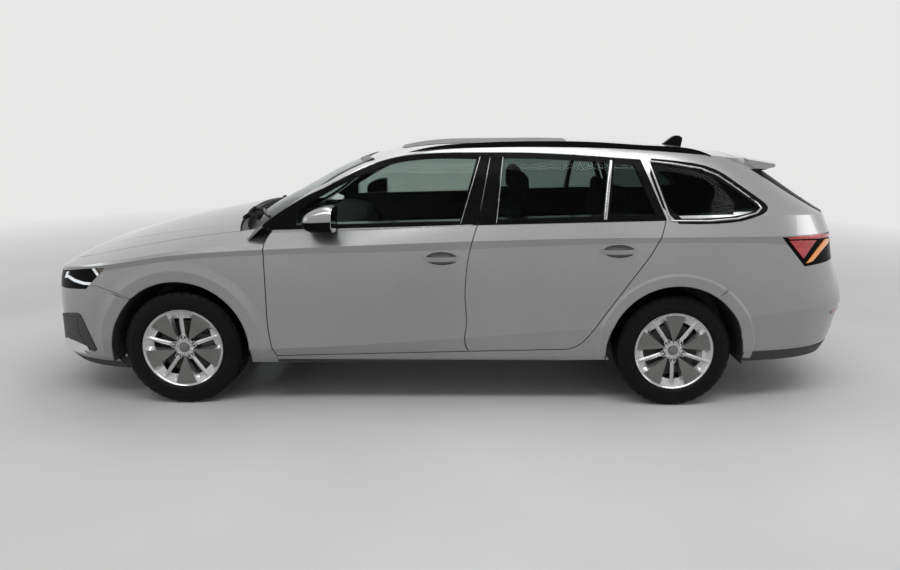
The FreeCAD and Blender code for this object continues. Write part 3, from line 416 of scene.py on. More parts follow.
# Rays onto the CAD surfaces: photo_ray takes pixels, and the others take millimetres
TREES = {}
CAMERA_TURN = SCENE.camera.matrix_world.to_3x3()
FOCAL_PIXELS = SCENE.camera.data.lens / SENSOR_WIDTH * IMAGE_WIDTH


def tree_of(names):
    """One search tree over the faces of several CAD nodes."""
    key = tuple(names)
    if key not in TREES:
        points, faces = [], []
        for name in names:
            mesh = NODES[name].data
            start = len(points)
            points.extend(v.co.copy() for v in mesh.vertices)
            faces.extend(tuple(start + i for i in p.vertices) for p in mesh.polygons)
        TREES[key] = bvhtree.BVHTree.FromPolygons(points, faces)
    return TREES[key]


def photo_ray(across, down):
    """The ray from the camera through a place in the photograph."""
    x = (across - IMAGE_WIDTH / 2 + SCENE.camera.data.shift_x * IMAGE_WIDTH) / FOCAL_PIXELS
    y = (IMAGE_HEIGHT / 2 - down + SCENE.camera.data.shift_y * IMAGE_WIDTH) / FOCAL_PIXELS
    return CAMERA_AT, (CAMERA_TURN @ Vector((x, y, -1))).normalized()


def side_ray(station, height):
    return Vector((at(station), -3, height / 1000)), Vector((0, 1, 0))


def front_ray(across, height):
    return Vector((-4, across / 1000, height / 1000)), Vector((1, 0, 0))


def rear_ray(across, height):
    return Vector((4, across / 1000, height / 1000)), Vector((-1, 0, 0))


def top_ray(station, across):
    return Vector((at(station), across / 1000, 3)), Vector((0, 0, -1))


def cast(spot, ray, names):
    """Where a ray meets the CAD nodes, and the surface's outward direction there."""
    start, along = ray(*spot)
    place, normal, _, _ = tree_of(names).ray_cast(start, along)
    if place is None:
        return None
    if normal.dot(along) > 0:
        normal = -normal
    return place, normal


# Outlines: loops and lines of points
def inside(point, loop):
    x, y = point
    result = False
    last = loop[-1]
    for corner in loop:
        if (corner[1] > y) != (last[1] > y):
            cross = (last[0] - corner[0]) * (y - corner[1]) / (last[1] - corner[1]) + corner[0]
            if x < cross:
                result = not result
        last = corner
    return result


def between(start, end, share):
    return tuple(a + (b - a) * share for a, b in zip(start, end))


def dense(loop, step, closed=True):
    """A loop's corners with points added along its sides."""
    made = []
    ends = loop[1:] + loop[:1] if closed else loop[1:]
    for start, end in zip(loop, ends):
        count = max(1, int(math.hypot(end[0] - start[0], end[1] - start[1]) / step))
        made += [between(start, end, i / count) for i in range(count)]
    return made if closed else made + [loop[-1]]


def rounded(loop, rounds=1):
    """Corner cutting, which turns a rough closed loop into a smooth one."""
    for _ in range(rounds):
        made = []
        for (a, b), (c, d) in zip(loop, loop[1:] + loop[:1]):
            made += [(a * 0.75 + c * 0.25, b * 0.75 + d * 0.25), (a * 0.25 + c * 0.75, b * 0.25 + d * 0.75)]
        loop = made
    return loop


# Thin plates and strips that lie on the CAD surfaces
DRAPE_ROOT = 0.002
DRAPE_LONGEST = 0.09
BEAD_STEPS = 8
BEAD_SINK = 0.0006
BEAD_TIP = 0.15
OVERLAY_LIFT = 0.001
OVERLAY_THICK = 0.0016
WELD = 5e-05


def laid(name, mesh, node, finish):
    """A piece that rides with the CAD node it lies on."""
    return piece(name, mesh, body_of(NODES[node])[0], finish)


def drape(name, loop, ray, names, finish, lift=0.0012, thick=0.0022, step=1.6, hole=None):
    """A plate whose outline, and a hole in it, are seen along the ray."""
    edge = dense(loop, step)
    inner = dense(hole, step) if hole else []

    def within(spot):
        return inside(spot, edge) and not (inner and inside(spot, inner))

    corners, edges = [], []
    for outline in (edge, inner):
        start = len(corners)
        corners += [Vector(p) for p in outline]
        edges += [(start + i, start + (i + 1) % len(outline)) for i in range(len(outline))]
    low = [min(p[n] for p in edge) for n in (0, 1)]
    high = [max(p[n] for p in edge) for n in (0, 1)]
    for i in range(1, int((high[0] - low[0]) / step)):
        for j in range(1, int((high[1] - low[1]) / step)):
            spot = (low[0] + i * step, low[1] + j * step + (i % 2) * step * 0.5)
            if within(spot):
                corners.append(Vector(spot))
    points, _, faces = geometry.delaunay_2d_cdt(corners, edges, [], 0, step * 0.02)[:3]
    bm = bmesh.new()
    top, foot = {}, {}
    for i, point in enumerate(points):
        hit = cast(tuple(point), ray, names)
        if hit:
            place, normal = hit
            top[i] = bm.verts.new(place + normal * (lift + thick))
            foot[i] = bm.verts.new(place + normal * lift * 0.2 - normal * DRAPE_ROOT)
    sides = {}
    for face in faces:
        centre = (sum(points[i][0] for i in face) / 3, sum(points[i][1] for i in face) / 3)
        if not within(centre) or not all(i in top for i in face):
            continue
        if max((top[a].co - top[b].co).length for a in face for b in face) >= DRAPE_LONGEST:
            continue
        bm.faces.new([top[i] for i in face])
        bm.faces.new([foot[i] for i in reversed(face)])
        for a, b in zip(face, face[1:] + face[:1]):
            if (b, a) in sides:
                del sides[(b, a)]
            else:
                sides[(a, b)] = True
    for a, b in sides:
        bm.faces.new([top[b], top[a], foot[a], foot[b]])
    bmesh.ops.delete(bm, geom=[v for v in bm.verts if not v.link_faces], context="VERTS")
    return laid(name, finish_mesh(bm, name, 50), names[0], finish)


def beads(name, lines, ray, names, finish, width, height, step, closed=False, taper=False):
    """Half-round strips that follow lines, as one piece."""
    bm = bmesh.new()
    for line in lines:
        hits = [hit for hit in (cast(spot, ray, names) for spot in dense(line, step, closed)) if hit]
        rings = []
        for i, (place, normal) in enumerate(hits):
            before = hits[i - 1][0] if i or closed else place
            after = hits[(i + 1) % len(hits)][0] if i < len(hits) - 1 or closed else place
            across = normal.cross((after - before).normalized()).normalized()
            share = max(BEAD_TIP, math.sin(math.pi * (i + 0.5) / len(hits)) ** 0.5) if taper else 1
            angles = [math.pi * k / BEAD_STEPS for k in range(BEAD_STEPS + 1)]
            rings.append([bm.verts.new(place + across * math.cos(angle) * width / 2 * share
                                       + normal * (math.sin(angle) * height * share - BEAD_SINK))
                          for angle in angles])
        bridge(bm, rings, looped=closed)
        if not closed:
            cap_ends(bm, rings)
    return laid(name, finish_mesh(bm, name, 60), names[0], finish)


def bead(name, line, *args, **values):
    return beads(name, [line], *args, **values)


def overlay(name, node, finish, cuts, wanted):
    """A plate made of a CAD node's own faces, kept on the side of each plane that its normal points to."""
    bm = bmesh.new()
    bm.from_mesh(NODES[node].data)
    bmesh.ops.remove_doubles(bm, verts=bm.verts, dist=WELD)
    for point, normal in cuts:
        bmesh.ops.bisect_plane(bm, geom=bm.verts[:] + bm.edges[:] + bm.faces[:], plane_co=point,
                               plane_no=normal, clear_inner=True)
    bmesh.ops.delete(bm, geom=[face for face in bm.faces if not wanted(face)], context="FACES")
    bm.normal_update()
    moves = {vert: vert.normal.copy() for vert in bm.verts}
    for vert, normal in moves.items():
        vert.co += normal * OVERLAY_LIFT
    made = bmesh.ops.extrude_face_region(bm, geom=bm.faces[:])
    for vert in [item for item in made["geom"] if isinstance(item, bmesh.types.BMVert)]:
        vert.co += vert.normal * OVERLAY_THICK
    return laid(name, finish_mesh(bm, name, 40), node, finish)


def plane(point, normal):
    return Vector(point), Vector(normal).normalized()


def above(height):
    return plane((0, 0, height), (0, 0, 1))


def below(height):
    return plane((0, 0, height), (0, 0, -1))


# The wheel's face. Tables run over the share of its radius: slot and panel edges in degrees from the
# middle of a spoke, and depths of rib, valley and panel in metres
RIM_FACE = 0.2105
FACE_INSET = 0.0095
FACE_THICK = 0.009
SPOKES = 5
SPOKE_PITCH = 360 / SPOKES
SLOT_EDGE_INNER = ((0.23, 21), (0.28, 15.5), (0.34, 9.5), (0.4, 7.2), (0.6, 5), (0.79, 3.6), (1, 3))
SLOT_EDGE_OUTER = (
    (0.23, 29), (0.33, 25), (0.43, 21.6), (0.53, 19.3), (0.63, 17.7), (0.79, 16), (1, 14.5))
PANEL_EDGE = (
    (0.2, 35), (0.25, 31.8), (0.33, 28.2), (0.43, 25.3), (0.5, 23.8), (0.63, 22.3), (0.73, 21.2),
    (0.97, 19.9), (1, 19.8))
RIB_DEPTH = ((0.13, 0.016), (0.3, 0.0145), (0.45, 0.011), (0.7, 0.0075), (0.9, 0.0065), (1, 0.003))
VALLEY_DEPTH = (
    (0.13, 0.017), (0.22, 0.018), (0.34, 0.026), (0.6, 0.03), (0.79, 0.029), (0.95, 0.008), (1, 0.003))
PANEL_DEPTH = ((0.13, 0.016), (0.25, 0.0135), (0.45, 0.0085), (0.7, 0.0048), (0.9, 0.003), (1, 0.0026))
RIB_CROWN = 0.0004
RIB_FLANK = 0.0065
SLOT_START = 0.25
SLOT_END = 0.79
PANEL_END = 0.985
RADII = (
    0.13, 0.16, 0.19, 0.22, 0.25, 0.28, 0.31, 0.34, 0.38, 0.42, 0.46, 0.5, 0.55, 0.6, 0.65, 0.7, 0.75,
    0.79, 0.82, 0.85, 0.88, 0.91, 0.94, 0.97, 1)
SHARES = (0, 0.08, 0.16, 0.24, 0.32, 0.4, 0.48, 0.56, 0.61, 0.66, 0.72, 0.8, 0.9, 1)
RIB_SHARE = 0.24
SLOT_SHARE = 0.56
PANEL_SHARE = 0.66


def rim_point(radius, share):
    """Angle in degrees from the rib and depth in metres of a place on the wheel's face."""
    knots = ((0, 0), (RIB_SHARE, table(radius, SLOT_EDGE_INNER)),
             (SLOT_SHARE, table(radius, SLOT_EDGE_OUTER)), (PANEL_SHARE, table(radius, PANEL_EDGE)),
             (1, SPOKE_PITCH / 2))
    rib, valley, panel = table(radius, RIB_DEPTH), table(radius, VALLEY_DEPTH), table(radius, PANEL_DEPTH)
    flank = min(valley, rib + RIB_FLANK)
    depths = ((0, rib), (0.08, rib + RIB_CROWN), (RIB_SHARE, flank), (SLOT_SHARE, valley),
              (PANEL_SHARE, panel), (1, panel))
    return table(share, knots), table(share, depths)


def wheel_face(centre, face_at, turn):
    """The pressed face of the wheel: five flat panels, five split spokes and ten slots."""
    bm = bmesh.new()
    sector_columns = [(share, -1) for share in reversed(SHARES)] + [(share, 1) for share in SHARES[1:-1]]
    columns = [(sector, share, side) for sector in range(SPOKES) for share, side in sector_columns]
    grid = []
    for sector, share, side in columns:
        column = []
        for radius in RADII:
            angle, depth = rim_point(radius, share)
            theta = math.radians(turn + sector * SPOKE_PITCH + side * angle)
            column.append(bm.verts.new(around(centre, radius * RIM_FACE, theta, face_at + depth)))
        grid.append(column)
    for i, one in enumerate(grid):
        following = (i + 1) % len(grid)
        two = grid[following]
        share = (columns[i][1] + columns[following][1]) / 2
        for k in range(len(RADII) - 1):
            middle = (RADII[k] + RADII[k + 1]) / 2
            if SLOT_START < middle < SLOT_END and RIB_SHARE < share < SLOT_SHARE:
                continue
            face = bm.faces.new([one[k], one[k + 1], two[k + 1], two[k]])
            face.material_index = 1 if share > PANEL_SHARE and middle < PANEL_END else 0
    bmesh.ops.remove_doubles(bm, verts=bm.verts, dist=0.0002)
    bmesh.ops.recalc_face_normals(bm, faces=bm.faces)
    if sum(face.normal.y for face in bm.faces) > 0:
        bmesh.ops.reverse_faces(bm, faces=bm.faces)
    mesh = to_mesh(bm, "wheel_face")
    mesh.materials.append(ALLOY)
    mesh.materials.append(ALLOY_FLAT)
    return mesh


def thickened(mesh, thickness, smooth_angle):
    """The sheet as a solid, taken from a solidify modifier's result."""
    holder = add_object("sheet", mesh)
    modifier = holder.modifiers.new("solidify", "SOLIDIFY")
    modifier.thickness = thickness
    modifier.offset = -1
    modifier.use_rim = True
    graph = bpy.context.evaluated_depsgraph_get()
    solid = bpy.data.meshes.new_from_object(holder.evaluated_get(graph))
    bpy.data.objects.remove(holder)
    bpy.data.meshes.remove(mesh)
    bm = bmesh.new()
    bm.from_mesh(solid)
    smooth(bm, smooth_angle)
    bm.to_mesh(solid)
    bm.free()
    return solid


def joined(name, meshes, body, slot):
    """Several meshes with their own materials as one piece."""
    bm = bmesh.new()
    finishes = []
    for mesh, finish in meshes:
        start = len(bm.faces)
        bm.from_mesh(mesh)
        bm.faces.ensure_lookup_table()
        own = [finish] if finish else list(mesh.materials)
        finishes += [one for one in own if one not in finishes]
        for face in bm.faces[start:]:
            face.material_index = finishes.index(own[0 if finish else face.material_index])
    made = piece(name, to_mesh(bm, name), body, slot=slot)
    for finish in finishes:
        made.data.materials.append(finish)
    return made


# The tyre: sidewall points as (distance from the bead or the tread, share of the half width)
TYRE_BEAD = (
    (0, 0.8), (0.004, 0.9), (0.01, 0.965), (0.014, 0.95), (0.018, 0.985), (0.045, 1), (0.047, 0.985),
    (0.052, 0.985), (0.054, 0.998))
TYRE_SHOULDER = ((0.03, 0.965), (0.022, 0.945), (0.02, 0.925), (0.013, 0.9), (0.006, 0.83))
TREAD_BLOCKS = ((-0.8, -0.54), (-0.44, -0.14), (-0.05, 0.05), (0.14, 0.44), (0.54, 0.8))
TREAD_CROWN = 0.0035
GROOVE_DEPTH = 0.0065
TREAD_BAND = 0.0135
TREAD_SLANT = 0.035
CUT_DEPTH = 0.0045
CUT_EVERY = 6
TYRE_SEGMENTS = 216


def tyre_profile(radius, half, bead_radius):
    side = [(bead_radius + out, -half * share) for out, share in TYRE_BEAD]
    side += [(radius - drop, -half * share) for drop, share in TYRE_SHOULDER]
    tread = []
    for start, end in TREAD_BLOCKS:
        crowns = [(radius - TREAD_CROWN * share ** 2, share * half) for share in (start, end)]
        if start > TREAD_BLOCKS[0][0]:
            tread.append((crowns[0][0] - GROOVE_DEPTH, crowns[0][1]))
        tread += crowns
        if end < TREAD_BLOCKS[-1][1]:
            tread.append((crowns[1][0] - GROOVE_DEPTH, crowns[1][1]))
    return side + tread + [(r, -w) for r, w in reversed(side)]


def make_tyre_mesh(name, centre, radius, half, bead_radius):
    """Sidewalls with fine rings, a square shoulder and a grooved tread with slanted cuts."""
    bm = bmesh.new()
    rings = []
    for i in range(TYRE_SEGMENTS):
        ring = []
        for r, w in tyre_profile(radius, half, bead_radius):
            angle = 2 * math.pi * i / TYRE_SEGMENTS
            depth = 0
            if r > radius - TREAD_BAND:
                angle += abs(w) / half * TREAD_SLANT
                if i % CUT_EVERY == 0 and abs(w) > half * 0.12:
                    depth = CUT_DEPTH
            ring.append(bm.verts.new(around(centre, r - depth, angle, centre[1] + w)))
        rings.append(ring)
    bridge(bm, rings, looped=True)
    return finish_mesh(bm, name, 28)


# Turned parts of the wheel as (radius, depth behind the face); the lip's radii start at the face's edge
LIP = (
    (-0.002, 0.004), (0.0005, 0.001), (0.003, -0.0012), (0.0062, -0.001), (0.0075, 0.003), (0.007, 0.009),
    (-0.001, 0.012), (-0.006, 0.022), (-0.008, 0.16), (0.006, 0.176), (0.006, 0.18), (-0.013, 0.166),
    (-0.012, 0.02))
CAP = (
    (0.0001, 0.0105), (0.01, 0.0106), (0.02, 0.0112), (0.0245, 0.0125), (0.0255, 0.0145), (0.0275, 0.014),
    (0.029, 0.0165), (0.029, 0.03), (0.0001, 0.03))
BOSS = (
    (0.0195, 0.03), (0.0195, 0.0135), (0.018, 0.0112), (0.016, 0.0115), (0.0152, 0.02), (0.0152, 0.03))
BOLT = (
    (0.0001, 0.0165), (0.0055, 0.0165), (0.006, 0.015), (0.0105, 0.015), (0.012, 0.0165),
    (0.015, 0.021), (0.015, 0.03), (0.0001, 0.03))
BOLT_CIRCLE = 0.056
BEAD_SEAT = 0.004


def make_wheel(end, turn):
    """One axle's left wheel and tyre, and their mirror images."""
    low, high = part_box(end + "_tyre_left")
    centre = (low + high) / 2
    half = (high.y - low.y) / 2
    radius = (high.z - low.z) / 2
    body = end + "_wheel_left"
    face_at = low.y + FACE_INSET
    parts = [(thickened(wheel_face(centre, face_at, turn), FACE_THICK, 17), None)]

    def add(profile, segments, middle, finish, smooth_angle=35):
        moved = [(r, face_at + w) for r, w in profile]
        parts.append((turned(moved, segments, middle, smooth_angle), finish))

    add([(RIM_FACE + r, w) for r, w in LIP], 120, centre, ALLOY, 30)
    add(CAP, 48, centre, WHEEL_CAP)
    for number in range(SPOKES):
        middle = around(centre, BOLT_CIRCLE, math.radians(turn + number * SPOKE_PITCH), 0)
        add(BOSS, 24, middle, ALLOY)
        add(BOLT, 6, middle, BOLT_BLACK, 20)
    wheel = joined(end + "_wheel_face_left", parts, body, "wheel_alloy")
    tyre_mesh = make_tyre_mesh(end + "_tyre_cover_left", centre, radius, half, RIM_FACE + BEAD_SEAT)
    tyre = piece(tyre_mesh.name, tyre_mesh, body, RUBBER)
    for made, node in ((wheel, end + "_rim_"), (tyre, end + "_tyre_")):
        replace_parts(made, node + "left")
        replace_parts(mirrored(made, made.name.replace("_left", "_right")), node + "right")


make_wheel("front", -2)
make_wheel("rear", 180)

# Arch flares: millimetres out from the mouth of the arch, and the band's lift in metres
ARCH_MOUTH = 380
FLARE_INSET = 1.5
FLARE_STEPS = 84
FLARE_SKIN = 0.0003
FRONT_FLARE = (
    (0, 0.0008), (4, 0.0014), (50, 0.0052), (56, 0.0058), (60, 0.0056), (68, 0.0044),
    (84, 0.002), (110, 0.0001))
REAR_FLARE = (
    (0, 0.0008), (4, 0.0014), (44, 0.005), (50, 0.0056), (54, 0.005), (60, 0.0026),
    (66, 0.0001))


def flare_ring(axle, nodes, rows, starts, ends, share):
    """The band's section at a share of its run, or nothing where it leaves the surface."""
    ring = []
    for out, lift in rows:
        across = out / rows[-1][0]
        first, last = between((starts[0], ends[0]), (starts[1], ends[1]), across)
        angle = math.radians(first + (last - first) * share)
        radius = ARCH_MOUTH + FLARE_INSET + out
        spot = (axle + radius * math.sin(angle), AXLE_HEIGHT * 1000 + radius * math.cos(angle))
        hit = cast(spot, side_ray, nodes)
        if hit is None:
            return []
        place, normal = hit
        if not ring:
            to_axle = Vector((-math.sin(angle), 0, -math.cos(angle)))
            lip = place + to_axle * 0.005 - Vector((0, lift, 0))
            ring = [lip + Vector((0, depth, 0)) for depth in (0.03, 0.004)]
        ring.append(place + normal * (lift + FLARE_SKIN))
    return ring


def make_flare(name, axle, nodes, rows, starts, ends):
    """A raised band round the arch, from its lip to a soft crease; its ends may slant with the shut lines."""
    bm = bmesh.new()
    rings = [flare_ring(axle, nodes, rows, starts, ends, i / FLARE_STEPS) for i in range(FLARE_STEPS + 1)]
    bridge(bm, [[bm.verts.new(p) for p in ring] for ring in rings if ring], wrapped=False)
    return piece(name, finish_mesh(bm, name, 50), "body", PAINT)


FENDER = "front_fender_left"
SIDE = "side_frame_left"

# Each band's name, axle, nodes, section, and degrees where its inner and outer edges start and end
FLARES = (
    ("front_flare_fender", 0, (FENDER, SIDE), FRONT_FLARE, (-42.2, -50.2), (99, 99)),
    ("front_flare_bumper", 0, ("front_bumper", FENDER), FRONT_FLARE, (-96, -96), (-42.9, -50.9)),
    ("rear_flare_side", REAR_STATION, (SIDE, "rear_bumper"), REAR_FLARE, (-98, -98), (32.6, 36)),
    ("rear_flare_bumper", REAR_STATION, ("rear_bumper", SIDE), REAR_FLARE, (33.3, 36.7), (96, 96)),
)
for row in FLARES:
    pair(make_flare, *row)

# The moulded liner inside each arch: a half tube with a lipped inner wall
LINER_RADIUS = 0.3765
LINER_WALL_RADIUS = 0.33
LINER_OUT = -0.872
LINER_IN = -0.515
LINER_THICK = 0.003
LINER_RIB = 0.0015
LINER_STEPS = 72


def make_liner(name, axle, first, last):
    """A black arch liner with shallow ribs, open towards the wheel."""
    rings = []
    for i in range(LINER_STEPS + 1):
        angle = math.radians(first + (last - first) * i / LINER_STEPS)
        inner = LINER_RADIUS - (LINER_RIB if i % 6 < 3 else 0)
        section = ((LINER_RADIUS, LINER_OUT), (inner, LINER_OUT + 0.03), (inner, LINER_IN - 0.03),
                   (LINER_RADIUS - 0.012, LINER_IN), (LINER_WALL_RADIUS, LINER_IN),
                   (LINER_WALL_RADIUS, LINER_IN + LINER_THICK),
                   (LINER_RADIUS - 0.009, LINER_IN + LINER_THICK),
                   (LINER_RADIUS + LINER_THICK, LINER_IN - 0.028), (LINER_RADIUS + LINER_THICK, LINER_OUT))
        rings.append([around((at(axle), 0, AXLE_HEIGHT), r, angle, y) for r, y in section])
    return piece(name, lofted(rings, name, 25), "body", PLASTIC)


pair(make_liner, "front_arch_liner", 0, -101, 100)
pair(make_liner, "rear_arch_liner", REAR_STATION, -100, 100)

# Window frames, and the trim on the cabin side of the doors, body sides, roof and floor
BELT = plane((at(640), 0, 0.978), (-0.0335, 0, 1))
BEHIND_DASHBOARD = plane((at(380), 0, 0), (1, 0, 0))
SIDE_TRIM_REACH = -0.86
CARPET_TOP = 0.7


def outer_left(face):
    return face.normal.y < -0.35


def inner_left(face):
    return face.normal.y > 0.35


for end in ("front", "rear"):
    pair(overlay, end + "_window_frame", end + "_door_left", GLOSS_BLACK, [BELT], outer_left)
for end in ("front", "rear"):
    pair(overlay, end + "_door_card", end + "_door_left", CABIN, [], inner_left)
pair(overlay, "side_trim", SIDE, CABIN, [BEHIND_DASHBOARD],
     lambda face: inner_left(face) and face.calc_center_median().y > SIDE_TRIM_REACH)
overlay("headliner", "roof", HEADLINER, [], lambda face: face.normal.z < -0.6)
overlay("carpet", "floor_pan", CARPET, [BEHIND_DASHBOARD],
        lambda face: face.normal.z > 0.7 and face.calc_center_median().z < CARPET_TOP)

# Window lines, with outlines in the photograph's pixels
QUARTER_NODES = [SIDE, "quarter_glass"]
FRONT_DOOR = ["front_door_left", "front_door_glass_left"]
REAR_DOOR = ["rear_door_left", "rear_door_glass_left"]
QUARTER_RING = rounded([
    (644, 158.3), (671.3, 160.4), (700, 164.2), (719.1, 170.9), (738.3, 184.3), (759.3, 199),
    (768.2, 206.5), (766.5, 212.5), (755.5, 217.4), (738.3, 222.2), (709.6, 224.2), (669, 223.6)])
QUARTER_HOLE = rounded([
    (652.5, 164.5), (671, 166.5), (699, 171.5), (716.5, 178.5), (735.5, 191.5), (755.5, 205.5),
    (758.5, 208.6), (751.5, 212.5), (737.5, 216.2), (709.5, 218.6), (672, 218.8)])
QUARTER_LINE = [
    (648.5, 161.2), (671, 163.5), (700, 168.3), (718, 175.4), (737, 188.6), (757, 203),
    (761.5, 208.3), (756, 213.4), (738, 218.6), (710, 220.9), (671, 221)]
WINDOW_STRIPS = (
    ("front_window_line", [(480.2, 157), (460.7, 224)], FRONT_DOOR, 0.0055),
    ("rear_window_line", [(503, 157.5), (496.5, 223.5)], REAR_DOOR, 0.0055),
    ("rear_window_bar", [(611, 160.8), (605.4, 219.8)], REAR_DOOR, 0.02),
)
BELT_STRIP = [(331.5, 230), (380, 228.3), (430, 226.6), (473, 225.2)]

pair(drape, "quarter_window_frame", QUARTER_RING, photo_ray, QUARTER_NODES, GLOSS_BLACK, hole=QUARTER_HOLE)
for name, line, nodes, width in WINDOW_STRIPS:
    pair(bead, name, line, photo_ray, nodes, WINDOW_LINE, width, 0.006, 3)
pair(bead, "quarter_window_line", QUARTER_LINE, photo_ray, QUARTER_NODES, WINDOW_LINE, 0.013, 0.0065, 3,
     closed=True)
pair(bead, "front_belt_strip", BELT_STRIP, photo_ray, FRONT_DOOR, WINDOW_LINE, 0.006, 0.004, 3)

# Seats
SEAT_STEPS = 28
CHANNEL_HALF = 0.016
CHANNEL_DEPTH = 0.009
FRONT_SEAT_Y = -0.385
POST_RADIUS = 0.006
POST_HEIGHT = 0.1


def crowned_box(bm, low, high, crown, corner, channels):
    """A soft rounded box: flat walls swelled outwards, with stitched channels pressed into one of them."""
    centre = (low + high) / 2
    half = (high - low) / 2
    made = {}

    def vert(*key):
        if key not in made:
            u = Vector([2 * place / SEAT_STEPS - 1 for place in key])
            spot = Vector((u.x * half.x, u.y * half.y, u.z * half.z))
            core = Vector([max(-(h - corner), min(h - corner, c)) for c, h in zip(spot, half)])
            out = spot - core
            if out.length > 1e-9:
                spot = core + out.normalized() * corner
            for n in range(3):
                if abs(abs(u[n]) - 1) < 1e-6:
                    swell = (1 - u[(n + 1) % 3] ** 2) * (1 - u[(n + 2) % 3] ** 2)
                    spot[n] += math.copysign(crown[n] * swell ** 0.8, u[n])
            for axis, place, (wall, side) in channels:
                away = abs(u[axis] * half[axis] - place)
                if away < CHANNEL_HALF and u[wall] * side > 0.98:
                    spot[wall] -= side * CHANNEL_DEPTH * (1 - away / CHANNEL_HALF) ** 0.7
            made[key] = bm.verts.new(centre + spot)
        return made[key]

    for i in range(SEAT_STEPS):
        for j in range(SEAT_STEPS):
            for side in (0, SEAT_STEPS):
                square = ((side, i, j), (side, i + 1, j), (side, i + 1, j + 1), (side, i, j + 1))
                for turn in range(3):
                    bm.faces.new([vert(*(key[turn:] + key[:turn])) for key in square])
    return list(made.values())


def soft(name, boxes, stands_for):
    """Cushions given by their box, crown, corner radius, channels, and a pivot and degrees to lean back."""
    bm = bmesh.new()
    for low, high, crown, corner, channels, pivot, degrees in boxes:
        verts = crowned_box(bm, Vector(low), Vector(high), crown, corner, channels)
        turn = Matrix.Rotation(math.radians(degrees), 3, "Y")
        for vert in verts if degrees else ():
            vert.co = Vector(pivot) + turn @ (vert.co - Vector(pivot))
    made = piece(name, finish_mesh(bm, name, 80), "body", FABRIC)
    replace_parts(made, stands_for)
    return made


# A channel is an axis, its place on that axis, and its wall: the wall's axis and side
ON_TOP = (2, 1)
IN_FRONT = (0, -1)


def make_front_seats():
    y = FRONT_SEAT_Y
    cushion = ((at(1095), y - 0.25, 0.4), (at(1605), y + 0.25, 0.555), (0.006, 0.006, 0.022), 0.045,
               ((0, 0.05, ON_TOP), (0, -0.1, ON_TOP), (1, 0.15, ON_TOP), (1, -0.15, ON_TOP)), None, 0)
    back = ((at(1560), y - 0.24, 0.5), (at(1675), y + 0.24, 1.105), (0.02, 0.008, 0.01), 0.042,
            ((2, -0.12, IN_FRONT), (2, 0.06, IN_FRONT), (1, 0.15, IN_FRONT), (1, -0.15, IN_FRONT)),
            (at(1620), y, 0.5), 18)
    rest = ((at(1800), y - 0.125, 1.085), (at(1890), y + 0.125, 1.255), (0.012, 0.008, 0.008), 0.036,
            (), None, 0)
    left = soft("front_seat_left", [cushion, back, rest], "front_seats")
    mirrored(left, "front_seat_right")


def make_rear_seats():
    cushion = ((at(1955), -0.6, 0.4), (at(2390), 0.6, 0.535), (0.006, 0.01, 0.02), 0.042,
               ((1, 0.2, ON_TOP), (1, -0.2, ON_TOP), (0, 0.02, ON_TOP)), None, 0)
    soft("rear_bench", [cushion], "rear_seat")
    back = ((at(2400), -0.56, 0.612), (at(2505), 0.56, 1.055), (0.012, 0.01, 0.006), 0.04,
            ((1, 0.2, IN_FRONT), (1, -0.2, IN_FRONT), (2, 0.02, IN_FRONT)), None, 0)
    rests = [((at(2420), y - 0.115, 1.045), (at(2492), y + 0.115, 1.175), (0.006, 0.006, 0.006), 0.03,
              (), None, 0) for y in (-0.37, 0, 0.37)]
    soft("rear_backrest", [back] + rests, "rear_seat_back")


def make_seat_bases():
    """The front seats' plinths and the posts of their head rests."""
    bases = []
    for side in (FRONT_SEAT_Y, -FRONT_SEAT_Y):
        bm = bmesh.new()
        bmesh.ops.create_cube(bm, size=1, matrix=Matrix.Translation((at(1355), side, 0.355)) @
                              Matrix.Diagonal((0.4, 0.42, 0.145, 1)))
        bases.append((finish_mesh(bm, "plinth"), CABIN))
        for y in (-0.035, 0.035):
            bm = bmesh.new()
            bmesh.ops.create_cone(bm, cap_ends=True, segments=16, radius1=POST_RADIUS, radius2=POST_RADIUS,
                                  depth=POST_HEIGHT,
                                  matrix=Matrix.Translation((at(1838), side + y, 1.02 + POST_HEIGHT / 2)))
            bases.append((finish_mesh(bm, "post"), CHROME))
    joined("seat_bases", bases, "body", "black_plastic")


make_front_seats()
make_rear_seats()
make_seat_bases()

# Headlamps and side intakes, with outlines in the photograph's pixels
HEAD = ["headlamps"]
BUMPER = ["front_bumper"]
HEADLAMP_PIECES = (
    ("running_light_low", LAMP_WHITE, [
        (69, 274.8), (75.5, 279), (84.5, 281.9), (93.9, 282.7), (93.4, 285.3), (84, 284.6), (74.5, 281.6),
        (68, 277.4)]),
    ("running_light_rise", LAMP_WHITE, [(90.9, 266.4), (93.2, 266.4), (101, 277), (99.2, 278.6)]),
    ("running_light_fall", LAMP_WHITE, [(109.2, 266.6), (111.8, 266.6), (102.4, 277.2), (101.2, 275.6)]),
    ("headlamp_bronze", BRONZE, [(94.6, 266.6), (108.2, 266.8), (101, 274.6)]),
    ("running_light_front", LAMP_WHITE, [(67.2, 271.8), (69.4, 271.2), (67.4, 277.8), (65.6, 277.6)]),
)
SIDE_INTAKE = [
    (66.5, 312.5), (77.9, 312.9), (80.9, 315.2), (96.9, 349.7), (95.3, 351.6), (86, 346.8), (70.5, 338.5),
    (68.3, 320)]
INTAKE_BLADE = [
    (65.5, 341.6), (68.5, 336.6), (70.6, 337.7), (88.2, 345.2), (91.2, 350.9), (86, 350), (70, 345.6)]
for name, finish, outline in HEADLAMP_PIECES:
    pair(drape, name, outline, photo_ray, HEAD, finish, step=0.9)

